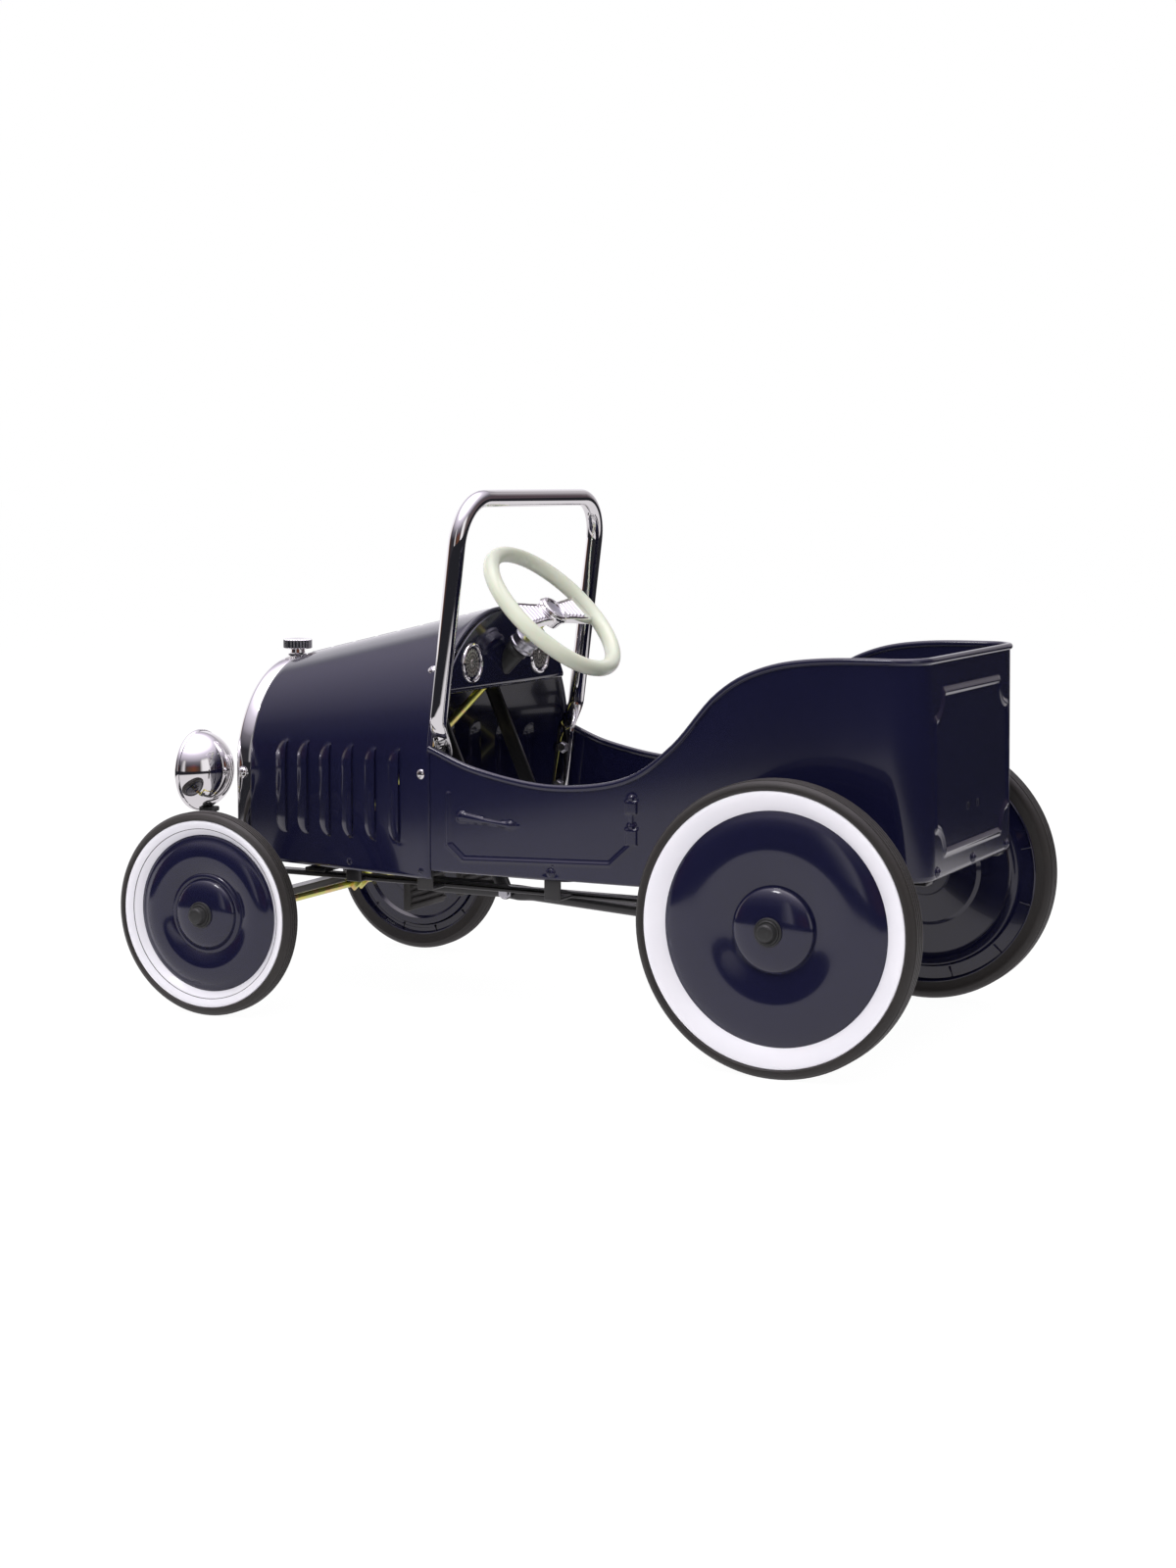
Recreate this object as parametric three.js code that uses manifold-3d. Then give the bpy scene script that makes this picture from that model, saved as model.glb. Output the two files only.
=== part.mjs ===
// Child's pressed-steel pedal car with an open cockpit.
// Millimetres, +Z up. The car faces -Y, its left side is +X, and the origin is on the ground
// under the middle of the car.
import * as THREE from 'three';
import { mergeVertices } from 'three/addons/utils/BufferGeometryUtils.js';
import Module from 'manifold-3d';

const wasm = await Module();
wasm.setup();

// ---------------------------------------------------------------- driving dimensions
const SEAT_GAP = 0.3; // between two pieces that rest on each other
const RUN_GAP = 0.4; // radial, between a shaft and what it turns in
const SIDES = { right: -1, left: 1 };

const WHEEL = {
  rear: {
    radius: 125, width: 25, wallHeight: 9, bandWidth: 17, dish: 7.5, plane: 191.2,
    hubRadius: 37, hubRise: 11, hubProud: 5.5, capRadius: 12, capLength: 8.8, spindle: 6,
  },
  front: {
    radius: 94.7, width: 20, wallHeight: 8, bandWidth: 13.8, dish: 7, plane: 194.9,
    hubRadius: 31, hubRise: 7.5, hubProud: 2.5, capRadius: 12, capLength: 9.9, spindle: 5,
  },
};
const REAR_AXLE_Y = 266;
const WHEELBASE = 562.4;
const FRONT_AXLE_Y = REAR_AXLE_Y - WHEELBASE;
const REAR_AXLE_Z = WHEEL.rear.radius;
const FRONT_AXLE_Z = WHEEL.front.radius;

const TUB = {
  frontY: -95, rearY: 373, bottom: 140, rearBottom: 160, wall: 2, corner: 28,
  halfWidth: 137, rearHalfWidth: 135, rearFootHalfWidth: 126, rimZ: 346,
};
const HOOD = {
  frontY: FRONT_AXLE_Y - 12.6, wall: 2, bottom: 134,
  front: { halfWidth: 102, springZ: 219, crownZ: 321 },
  rear: { halfWidth: 136.5, springZ: 239, crownZ: 372 },
};
const RADIATOR = { depth: 19, flange: 17, wall: 2.5, capRadius: 14, capHeight: 11, neckRadius: 7 };
const LAMP = { x: 112, ahead: 54.8, z: 216, radius: 38, depth: 33.6, wall: 1.6, lensThickness: 3, stay: 4 };
const SCREEN = {
  tube: 8, topZ: 477, topY: -60, halfWidth: 138, bend: 42, footZ: 262, footY: -86,
  strapX: 124, strapEndZ: 176, strapThickness: 4, strapWidth: 17,
};
const DASH = { thickness: 5, bottom: 300, gaugeX: 67, gaugeZ: 325, gaugeRadius: 18.5, gaugeProud: 3 };
const SEAT = { z: 200, frontY: 120, thickness: 2, lip: 26, gap: 4 };
const RAIL = {
  x: 99, width: 18, thickness: 4, z: 121.5, riseY: 205, riseRun: 32, rearZ: 156,
  frontEnd: 12, outrigger: [-187, -103, 27], outriggerHalf: 8, flange: 3, flangeHeight: 30,
};
const AXLE_PLATE = { thickness: 8, reach: 16 };
const STEER = {
  wheelY: -40, wheelZ: 371, tieAboveAxle: 4.16, rimRadius: 73, rimTube: 7.5,
  spokeWidth: 24, spokeThickness: 4, shaft: 4, arm: 38, collarTop: 36, collarLength: 13,
  collarRadius: 13, bossLength: 28, bossRadius: 9.5, kingpinX: 150, tieRod: 3.5, pin: 4,
};
// The column leans so that its lever's pin, an arm's length behind its axis, meets the tie rod.
const columnRun = [
  STEER.wheelY - FRONT_AXLE_Y - STEER.arm,
  STEER.wheelZ - FRONT_AXLE_Z - STEER.tieAboveAxle,
];
const COLUMN_TILT = Math.acos(STEER.arm / Math.hypot(...columnRun)) - Math.atan2(...columnRun);
const CRANK = { throw: 31, x: 50, pin: 5, pinLength: 22, web: 5, webWidth: 15 };
const HANGER = {
  pivotY: -138, pivotZ: 295, pivot: 4, boltY: -58, boltZ: 113, width: 14, thickness: 3.5,
  boltRadius: 5, boltHead: 3.5, sideGap: 0.8,
};
const ROD = { radius: 6.5, strapThickness: 5, strapHeight: 15, flatLength: 14, eye: 10.5, eyeWidth: 12 };
const PEDAL = { y: -146, width: 68, height: 47, thickness: 8, bottom: 91, ribs: 5, ribRise: 2.5 };

// ---------------------------------------------------------------- finishes
const finish = (color, roughness, metalness) => ({ color, roughness, metalness });
const FINISH = {
  navy: finish(0x14152b, 0.25, 0.1),
  black: finish(0x151515, 0.45, 0.1),
  rubber: finish(0x1b1917, 0.75, 0),
  white: finish(0xe9e6ee, 0.35, 0),
  cream: finish(0xcfd2c2, 0.35, 0),
  chrome: finish(0xd8d8da, 0.08, 1),
  zinc: finish(0xb9a23c, 0.35, 0.9),
  glass: finish(0xdfe6ea, 0.05, 0),
};

// ---------------------------------------------------------------- solid helpers
const car = new THREE.Group();
const X_AXIS = new THREE.Vector3(1, 0, 0);
const Y_AXIS = new THREE.Vector3(0, 1, 0);

function merged(geometry) {
  const bare = geometry.index ? geometry.toNonIndexed() : geometry.clone();
  bare.deleteAttribute('normal');
  bare.deleteAttribute('uv');
  return mergeVertices(bare, 1e-4);
}

function solid(geometry) {
  const mesh = merged(geometry);
  return new wasm.Manifold(new wasm.Mesh({
    numProp: 3,
    vertProperties: new Float32Array(mesh.attributes.position.array),
    triVerts: new Uint32Array(mesh.index.array),
  }));
}

function geometryOf(body) {
  const mesh = body.getMesh();
  const geometry = new THREE.BufferGeometry();
  geometry.setAttribute('position', new THREE.BufferAttribute(new Float32Array(mesh.vertProperties), 3));
  geometry.setIndex(Array.from(mesh.triVerts));
  return geometry;
}

const closed = (geometry) => geometryOf(solid(geometry));
const join = (...geometries) => geometryOf(geometries.map(solid).reduce((sum, next) => sum.add(next)));
const common = (a, b) => geometryOf(solid(a).intersect(solid(b)));

function cut(geometry, ...tools) {
  return geometryOf(tools.map(solid).reduce((rest, tool) => rest.subtract(tool), solid(geometry)));
}

function piece(name, geometry, look, parent = car) {
  const material = new THREE.MeshStandardMaterial(look);
  const mesh = new THREE.Mesh(geometry, material);
  mesh.name = name;
  parent.add(mesh);
  return mesh;
}

const ordered = (a, b) => [Math.min(a, b), Math.max(a, b)];

// A box given by its two corners.
function block(x0, x1, y0, y1, z0, z1) {
  const box = new THREE.BoxGeometry(x1 - x0, y1 - y0, z1 - z0);
  return box.translate((x0 + x1) / 2, (y0 + y1) / 2, (z0 + z1) / 2);
}

// A round bar between two points.
function bar(from, to, radius, sides = 14) {
  const a = new THREE.Vector3(...from);
  const b = new THREE.Vector3(...to);
  const along = b.clone().sub(a);
  const rod = new THREE.CylinderGeometry(radius, radius, along.length(), sides);
  rod.applyQuaternion(new THREE.Quaternion().setFromUnitVectors(Y_AXIS, along.normalize()));
  return rod.translate(...a.add(b).multiplyScalar(0.5).toArray());
}

const barX = (x0, x1, y, z, radius, sides) => bar([x0, y, z], [x1, y, z], radius, sides);

// A turned piece about local Z from [radius, height] points, taken round so that it faces outwards.
function turned(points, segments) {
  const profile = points.map(([r, h]) => new THREE.Vector2(r, h));
  if (THREE.ShapeUtils.area(profile) < 0) profile.reverse();
  return new THREE.LatheGeometry(profile, segments).rotateX(Math.PI / 2);
}

const ring = (inner, outer, h0, h1, segments = 20) =>
  turned([[inner, h0], [outer, h0], [outer, h1], [inner, h1], [inner, h0]], segments);

// A flat outline in the Y-Z plane, given thickness along X from x0 to x1.
function sidePlate(shape, x0, x1) {
  const plate = new THREE.ExtrudeGeometry(shape, { depth: x1 - x0, bevelEnabled: false, curveSegments: 6 });
  const toSide = new THREE.Matrix4().makeBasis(Y_AXIS, new THREE.Vector3(0, 0, 1), X_AXIS);
  return plate.applyMatrix4(toSide).translate(x0, 0, 0);
}

function outline(points) {
  return new THREE.Shape(points.map(([a, b]) => new THREE.Vector2(a, b)));
}

function tube(points, radius, steps, sides = 10) {
  const path = new THREE.CatmullRomCurve3(points.map((p) => new THREE.Vector3(...p)), false, 'centripetal');
  const section = new THREE.Shape();
  section.absarc(0, 0, radius, 0, Math.PI * 2);
  return new THREE.ExtrudeGeometry(section, {
    steps, extrudePath: path, bevelEnabled: false, curveSegments: sides / 2,
  });
}

function moved(geometry, map) {
  const position = geometry.attributes.position;
  const point = new THREE.Vector3();
  for (let i = 0; i < position.count; i += 1) {
    map(point.fromBufferAttribute(position, i));
    position.setXYZ(i, point.x, point.y, point.z);
  }
  return geometry;
}

const mix = THREE.MathUtils.lerp;

// ---------------------------------------------------------------- body shells
// Half width of the tub's outer side: it narrows to the rear, and more at the foot.
function tubHalfWidth(y, z) {
  const back = (y - TUB.frontY) / (TUB.rearY - TUB.frontY);
  const up = (z - TUB.bottom) / (TUB.rimZ - TUB.bottom);
  return mix(TUB.halfWidth, mix(TUB.rearFootHalfWidth, TUB.rearHalfWidth, up), back);
}

// Section of the hood at station y: half width, height of the arch's springing, and crown.
function hoodSection(y, inset = 0) {
  const back = (y - HOOD.frontY) / (TUB.frontY - HOOD.frontY);
  return {
    halfWidth: mix(HOOD.front.halfWidth, HOOD.rear.halfWidth, back) - inset,
    springZ: mix(HOOD.front.springZ, HOOD.rear.springZ, back),
    crownZ: mix(HOOD.front.crownZ, HOOD.rear.crownZ, back) - inset,
  };
}

// Inner half width of the hood at station y and height z; the wall grows with the section.
function hoodInnerX(y, z) {
  const { halfWidth, springZ, crownZ } = hoodSection(y);
  const inside = 1 - HOOD.wall / HOOD.front.halfWidth;
  const rise = Math.max(0, z - springZ) / ((crownZ - springZ) * inside);
  return halfWidth * inside * Math.sqrt(Math.max(0, 1 - rise * rise));
}

// Arch outline in X-Z: straight sides up from the foot, and a half ellipse over them.
function archPoints({ halfWidth, springZ, crownZ }, foot, steps = 20) {
  const points = [[halfWidth, foot]];
  for (let i = 0; i <= steps; i += 1) {
    const turn = (Math.PI * i) / steps;
    points.push([halfWidth * Math.cos(turn), springZ + (crownZ - springZ) * Math.sin(turn)]);
  }
  return [...points, [-halfWidth, foot]];
}

// A flat outline in X-Z, given depth along Y from y0 to y1.
function frontPlate(shape, y0, y1) {
  const plate = new THREE.ExtrudeGeometry(shape, { depth: y1 - y0, bevelEnabled: false, curveSegments: 6 });
  return plate.rotateX(Math.PI / 2).translate(0, y1, 0);
}

// Lofts an arch-shaped sheet between two stations of the hood.
function hoodSheet(y0, y1, wall, foot) {
  const start = hoodSection(y0);
  const end = hoodSection(y1);
  const inner = { halfWidth: start.halfWidth - wall, springZ: start.springZ, crownZ: start.crownZ - wall };
  const sheet = outline([...archPoints(start, foot), ...archPoints(inner, foot).reverse()]);
  return moved(frontPlate(sheet, y0, y1), (p) => {
    if (p.y < (y0 + y1) / 2) return;
    const above = Math.max(0, p.z - start.springZ);
    p.x *= end.halfWidth / start.halfWidth;
    p.z = above > 0
      ? end.springZ + (above * (end.crownZ - end.springZ)) / (start.crownZ - start.springZ)
      : foot + ((p.z - foot) * (end.springZ - foot)) / (start.springZ - foot);
  });
}

// Side view of the tub: cut-down cockpit side, high rounded back, foot stepped up at the rear.
function tubSide() {
  const side = outline([[TUB.frontY, TUB.bottom]]);
  const edge = [[-95, 253], [-46, 235], [27, 224], [97, 233], [144, 264], [186, 311], [226, 334], [280, 344]];
  side.lineTo(TUB.frontY, edge[0][1]);
  side.splineThru(edge.slice(1).map(([y, z]) => new THREE.Vector2(y, z)));
  side.lineTo(TUB.rearY + 1, TUB.rimZ);
  side.lineTo(TUB.rearY + 1, TUB.rearBottom);
  side.lineTo(REAR_AXLE_Y - 60, TUB.rearBottom);
  side.lineTo(REAR_AXLE_Y - 130, TUB.bottom);
  return side;
}

function tubShell() {
  const { corner, wall, frontY, rearY } = TUB;
  const plan = [];
  const corners = 5;
  const addWall = (inset, list) => {
    const half = TUB.halfWidth - inset;
    const radius = corner - inset;
    const back = rearY - corner;
    for (let i = 0; i <= 4; i += 1) list.push([half, mix(frontY, back, i / 4)]);
    for (let i = 1; i <= corners; i += 1) {
      const turn = (Math.PI / 2) * (i / corners);
      list.push([half - radius + radius * Math.cos(turn), back + radius * Math.sin(turn)]);
    }
    const mirrored = list.slice().reverse().map(([x, y]) => [-x, y]);
    list.push(...mirrored);
  };
  const outer = [];
  const inner = [];
  addWall(0, outer);
  addWall(wall, inner);
  plan.push(...outer, ...inner.reverse());
  const height = TUB.rimZ + 2 - TUB.bottom;
  const walls = new THREE.ExtrudeGeometry(outline(plan), { depth: height, steps: 4, bevelEnabled: false });
  walls.translate(0, 0, TUB.bottom);
  moved(walls, (p) => { p.x *= tubHalfWidth(p.y, p.z) / TUB.halfWidth; });
  return common(walls, sidePlate(tubSide(), -TUB.halfWidth - 5, TUB.halfWidth + 5));
}

piece('tub_shell', tubShell(), FINISH.navy);
piece('hood_shell', hoodSheet(HOOD.frontY, TUB.frontY - SEAT_GAP, HOOD.wall, HOOD.bottom), FINISH.navy);

// Dashboard: a shallow panel that closes the top of the hood's open end.
const dashFront = TUB.frontY + SEAT_GAP;
const dashBack = dashFront + DASH.thickness;
const steerAxis = new THREE.Vector3(0, Math.cos(COLUMN_TILT), Math.sin(COLUMN_TILT));
const wheelCentre = new THREE.Vector3(0, STEER.wheelY, STEER.wheelZ);
const onColumn = (distance) => wheelCentre.clone().addScaledVector(steerAxis, -distance);
{
  const arch = archPoints(hoodSection(TUB.frontY, 1), 0);
  const full = frontPlate(outline(arch), dashFront, dashBack);
  const upper = block(-200, 200, dashFront - 1, dashBack + 1, DASH.bottom, 400);
  const hole = bar(onColumn(0).toArray(), onColumn(160).toArray(), STEER.bossRadius + SEAT_GAP, 20);
  piece('dashboard', cut(common(full, upper), hole), FINISH.navy);
}
for (const [side, sign] of Object.entries(SIDES)) {
  const y = dashBack + SEAT_GAP;
  const dial = ring(0, DASH.gaugeRadius, 0, DASH.gaugeProud, 24).rotateX(-Math.PI / 2);
  piece(`gauge_${side}`, closed(dial), FINISH.chrome).position.set(sign * DASH.gaugeX, y, DASH.gaugeZ);
}

// Seat pan with a turned-down front edge, between the tub's sides.
{
  const rear = TUB.rearY - TUB.corner;
  const z1 = SEAT.z + SEAT.thickness;
  const corner = (y) => tubHalfWidth(y, TUB.bottom) - TUB.wall - SEAT.gap;
  const plan = outline([
    [-corner(rear), rear], [-corner(SEAT.frontY), SEAT.frontY],
    [corner(SEAT.frontY), SEAT.frontY], [corner(rear), rear],
  ]);
  const pan = new THREE.ExtrudeGeometry(plan, { depth: SEAT.thickness, bevelEnabled: false });
  pan.translate(0, 0, SEAT.z);
  const half = corner(SEAT.frontY);
  const lip = block(-half, half, SEAT.frontY, SEAT.frontY + SEAT.thickness, SEAT.z - SEAT.lip, z1);
  piece('seat_pan', join(pan, lip), FINISH.navy);
}

// ---------------------------------------------------------------- radiator and lamps
const shellBack = HOOD.frontY - SEAT_GAP;
const shellFront = shellBack - RADIATOR.depth;
{
  const section = hoodSection(HOOD.frontY);
  const open = hoodSection(HOOD.frontY, RADIATOR.flange);
  const foot = HOOD.bottom;
  const wall = RADIATOR.wall;
  const whole = frontPlate(outline(archPoints(section, foot)), shellFront, shellBack);
  const hollow = hoodSection(HOOD.frontY, wall);
  const inside = frontPlate(outline(archPoints(hollow, foot + wall)), shellFront + wall, shellBack + 1);
  const mouth = frontPlate(outline(archPoints(open, foot + RADIATOR.flange)), shellFront - 1, shellBack + 1);
  piece('radiator_shell', cut(whole, inside, mouth), FINISH.chrome);

  const fitting = hoodSection(HOOD.frontY, wall + SEAT_GAP);
  const y0 = shellFront + wall + SEAT_GAP;
  const grille = frontPlate(outline(archPoints(fitting, foot + wall + SEAT_GAP)), y0, y0 + 2);
  piece('radiator_grille', closed(grille), FINISH.chrome);

  const seatZ = section.crownZ + SEAT_GAP;
  const neckTop = seatZ + 6;
  const { capRadius, capHeight, neckRadius } = RADIATOR;
  const cap = turned([
    [0, seatZ], [neckRadius, seatZ], [neckRadius, neckTop], [capRadius, neckTop],
    [capRadius, neckTop + capHeight - 2], [capRadius - 2, neckTop + capHeight], [0, neckTop + capHeight],
  ], 24);
  piece('radiator_cap', closed(cap), FINISH.chrome).position.set(0, (shellFront + shellBack) / 2, 0);
}

for (const [side, sign] of Object.entries(SIDES)) {
  const { radius, depth, wall, lensThickness } = LAMP;
  const steps = 6;
  const outer = [];
  const inner = [];
  for (let i = 0; i <= steps; i += 1) {
    const turn = (Math.PI / 2) * (i / steps);
    outer.push([radius * Math.sin(turn), -depth * Math.cos(turn)]);
    inner.push([(radius - wall) * Math.sin(turn), -(depth - wall) * Math.cos(turn)]);
  }
  const bowl = turned([...outer, ...inner.reverse()], 24).rotateX(Math.PI / 2);
  const lampFront = HOOD.frontY - LAMP.ahead;
  const centre = [sign * LAMP.x, lampFront, LAMP.z];
  piece(`headlight_bowl_${side}`, closed(bowl), FINISH.chrome).position.set(...centre);
  const lensRadius = radius - wall - 1.2;
  const lensBack = -lensThickness - 1;
  const lens = turned([[0, lensBack], [lensRadius, lensBack], [lensRadius, -1.5], [0, -0.2]], 24);
  piece(`headlight_lens_${side}`, closed(lens.rotateX(Math.PI / 2)), FINISH.glass).position.set(...centre);

  // Stay: from the foot of the radiator out and up to the underside of the bowl.
  const underY = lampFront + 14;
  const underZ = LAMP.z - radius - SEAT_GAP - 1;
  const stay = tube([
    [sign * 60, shellFront - LAMP.stay - 2, 148], [sign * 88, shellFront - LAMP.stay - 3, 150],
    [sign * (LAMP.x - 6), underY + 10, 153], [sign * LAMP.x, underY + 2, 162],
    [sign * LAMP.x, underY, underZ],
  ], LAMP.stay, 14, 8);
  piece(`headlight_stay_${side}`, join(stay, stayFoot(sign)), FINISH.black);
}

// Flat foot of a lamp stay, bolted to the underside of the front cross-member.
function stayFoot(sign) {
  const y0 = shellFront - 2 * LAMP.stay;
  const post = block(sign * 60 - 6, sign * 60 + 6, y0, y0 + 6, RAIL.z - 7, 152);
  const foot = block(sign * 60 - 6, sign * 60 + 6, y0, FRONT_AXLE_Y + 22, RAIL.z - 7, RAIL.z - 3);
  return join(post, foot);
}

// ---------------------------------------------------------------- windshield frame
{
  const { halfWidth, bend, topZ, topY, footZ, footY, tube: radius } = SCREEN;
  const lean = (z) => mix(footY, topY, (z - footZ) / (topZ - footZ));
  const legZ = topZ - bend;
  const right = [];
  for (let i = 0; i <= 3; i += 1) right.push([-halfWidth, mix(footZ, legZ, i / 3)]);
  for (let i = 1; i <= 5; i += 1) {
    const turn = (Math.PI / 2) * (i / 5);
    right.push([-halfWidth + bend * (1 - Math.cos(turn)), legZ + bend * Math.sin(turn)]);
  }
  const left = right.slice().reverse().map(([x, z]) => [-x, z]);
  const path = [...right, [0, topZ], ...left].map(([x, z]) => [x, lean(z), z]);
  const parts = [tube(path, radius, 46)];
  for (const sign of Object.values(SIDES)) {
    const [outX, inX] = [sign * SCREEN.strapX, sign * (SCREEN.strapX - SCREEN.strapThickness)];
    const strap = outline([
      [inX, SCREEN.strapEndZ], [outX, SCREEN.strapEndZ], [outX, footZ - 10],
      [sign * (halfWidth + 1), footZ + 12], [sign * (halfWidth - 5), footZ + 12], [inX, footZ - 8],
    ]);
    const y0 = footY - SCREEN.strapWidth / 2;
    const flat = frontPlate(strap, y0, y0 + SCREEN.strapWidth);
    const slope = (footY - topY) / (topZ - footZ);
    parts.push(moved(flat, (p) => { p.y += slope * (footZ - p.z); }));
  }
  piece('windshield_frame', join(...parts), FINISH.chrome);
}

// ---------------------------------------------------------------- chassis
const railTop = RAIL.z + RAIL.thickness;
const railRearEnd = TUB.rearY - TUB.wall - SEAT_GAP - 4;
for (const [side, sign] of Object.entries(SIDES)) {
  const { x, width, thickness, z, riseY, riseRun, rearZ } = RAIL;
  const profile = outline([
    [FRONT_AXLE_Y - RAIL.frontEnd, z], [riseY, z], [riseY + riseRun, rearZ], [railRearEnd, rearZ],
    [railRearEnd, rearZ + thickness], [riseY + riseRun - 2, rearZ + thickness], [riseY - 2, z + thickness],
    [FRONT_AXLE_Y - RAIL.frontEnd, z + thickness],
  ]);
  const parts = [sidePlate(profile, sign * x - width / 2, sign * x + width / 2)];
  for (const y of RAIL.outrigger) {
    const inHood = y < TUB.frontY;
    const [y0, y1] = [y - RAIL.outriggerHalf, y + RAIL.outriggerHalf];
    const wallX = inHood ? hoodInnerX(y0, HOOD.bottom) : tubHalfWidth(y1, TUB.bottom) - TUB.wall;
    const outer = wallX - (inHood ? SEAT_GAP : 2 * SEAT_GAP + 0.2);
    parts.push(block(...ordered(sign * (x - 2), sign * outer), y0, y1, z, z + RAIL.flange));
    const flange = ordered(sign * (outer - RAIL.flange), sign * outer);
    parts.push(block(...flange, y0, y1, z, z + RAIL.flangeHeight));
  }
  piece(`chassis_rail_${side}`, join(...parts), FINISH.black);
}

const columnFoot = (() => {
  const y = FRONT_AXLE_Y + STEER.arm;
  const sin = Math.sin(COLUMN_TILT);
  const cos = Math.cos(COLUMN_TILT);
  const z = STEER.wheelZ + ((y - STEER.wheelY) * sin - STEER.arm) / cos;
  return { tieY: y, tieZ: z, distance: -(y - STEER.wheelY) * cos - (z - STEER.wheelZ) * sin };
})();
const bearingAt = columnFoot.distance - 34;
const frontMemberY = onColumn(bearingAt).y + 26;
{
  const half = RAIL.x + RAIL.width / 2;
  const z0 = railTop + SEAT_GAP;
  const member = block(-half, half, frontMemberY - 11, frontMemberY + 11, z0, z0 + 4);
  piece('front_cross_member', member, FINISH.black);
  const base = RAIL.rearZ + RAIL.thickness + SEAT_GAP;
  const between = tubHalfWidth(TUB.rearY, TUB.rearBottom) - TUB.corner - 2;
  const flat = block(-half, half, railRearEnd - 22, railRearEnd - 1, base, base + 3);
  const web = block(-between, between, railRearEnd - 2, railRearEnd + 4, base, base + 3);
  const flange = block(-between, between, railRearEnd + 1, railRearEnd + 4, base, base + 20);
  piece('rear_cross_member', join(flat, web, flange), FINISH.black);
}

// Lower column bearing: a plate square to the column, standing on the front cross-member.
const column = new THREE.Group();
column.position.set(0, STEER.wheelY, STEER.wheelZ);
column.rotation.x = COLUMN_TILT - Math.PI / 2;
car.add(column);
{
  const drop = (onColumn(bearingAt).z - railTop - SEAT_GAP - 4) / Math.cos(COLUMN_TILT);
  const plate = block(-16, 16, -14, drop - 3 - SEAT_GAP, -bearingAt, -bearingAt + 3);
  const bore = ring(0, STEER.shaft + RUN_GAP, -bearingAt - 1, -bearingAt + 4, 16);
  piece('column_bearing_plate', cut(plate, bore), FINISH.black, column);
}

for (const [side, sign] of Object.entries(SIDES)) {
  const top = RAIL.rearZ - SEAT_GAP;
  const { thickness, reach } = AXLE_PLATE;
  const x0 = sign * RAIL.x - thickness / 2;
  const plate = block(x0, x0 + thickness, REAR_AXLE_Y - reach, REAR_AXLE_Y + reach, REAR_AXLE_Z - reach, top);
  const bore = barX(x0 - 1, x0 + thickness + 1, REAR_AXLE_Y, REAR_AXLE_Z, WHEEL.rear.spindle + RUN_GAP, 20);
  piece(`rear_axle_bearing_${side}`, cut(plate, bore), FINISH.black);
}

// ---------------------------------------------------------------- front axle and steering
const eyeHeight = 22;
{
  const reach = STEER.kingpinX;
  const bar0 = reach - 14;
  const parts = [block(-bar0, bar0, FRONT_AXLE_Y - 6, FRONT_AXLE_Y + 6, FRONT_AXLE_Z - 5, FRONT_AXLE_Z + 5)];
  for (const sign of Object.values(SIDES)) {
    const inner = sign * (reach - 22);
    const outer = sign * (reach + 8);
    for (const up of [-1, 1]) {
      const near = FRONT_AXLE_Z + up * (eyeHeight / 2 + SEAT_GAP);
      const heights = ordered(near, near + up * 4);
      parts.push(block(...ordered(inner, outer), FRONT_AXLE_Y - 8, FRONT_AXLE_Y + 8, ...heights));
    }
    const web = sign * (reach - 18);
    const webZ = eyeHeight / 2 + 3;
    const webY = [FRONT_AXLE_Y - 8, FRONT_AXLE_Y + 8];
    parts.push(block(...ordered(inner, web), ...webY, FRONT_AXLE_Z - webZ, FRONT_AXLE_Z + webZ));
    const post = sign * RAIL.x;
    const postTop = RAIL.z - SEAT_GAP;
    parts.push(block(post - 7, post + 7, FRONT_AXLE_Y - 6, FRONT_AXLE_Y + 6, FRONT_AXLE_Z, postTop));
  }
  const bores = Object.values(SIDES).map((sign) => bar(
    [sign * reach, FRONT_AXLE_Y, FRONT_AXLE_Z - 30], [sign * reach, FRONT_AXLE_Y, FRONT_AXLE_Z + 30],
    STEER.pin + RUN_GAP, 16,
  ));
  piece('front_axle_beam', cut(join(...parts), ...bores), FINISH.black);
}

for (const [side, sign] of Object.entries(SIDES)) {
  const x = sign * STEER.kingpinX;
  const { spindle, plane, width, hubProud } = WHEEL.front;
  const y = FRONT_AXLE_Y;
  const z = FRONT_AXLE_Z;
  const half = eyeHeight / 2;
  const end = sign * (plane + width / 2 + hubProud - SEAT_GAP);
  const armTop = columnFoot.tieZ - STEER.tieRod - 1;
  const knuckle = block(x - 7, x + 7, y - 7, y + 7, z - half, z + half);
  const kingpin = bar([x, y, z - half - 7], [x, y, z + half + 7], STEER.pin, 16);
  const axle = barX(x, end, y, z, spindle, 16);
  const shoulder = barX(x, sign * (plane - width / 2 - 5), y, z, spindle + 3, 16);
  const arm = block(x - 5, x + 5, y, y + STEER.arm + 7, armTop - 4, armTop);
  const pin = bar([x, y + STEER.arm, armTop - 2], [x, y + STEER.arm, columnFoot.tieZ + 7], STEER.pin - 1, 14);
  piece(`stub_axle_${side}`, join(knuckle, kingpin, axle, shoulder, arm, pin), FINISH.zinc);
}

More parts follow.
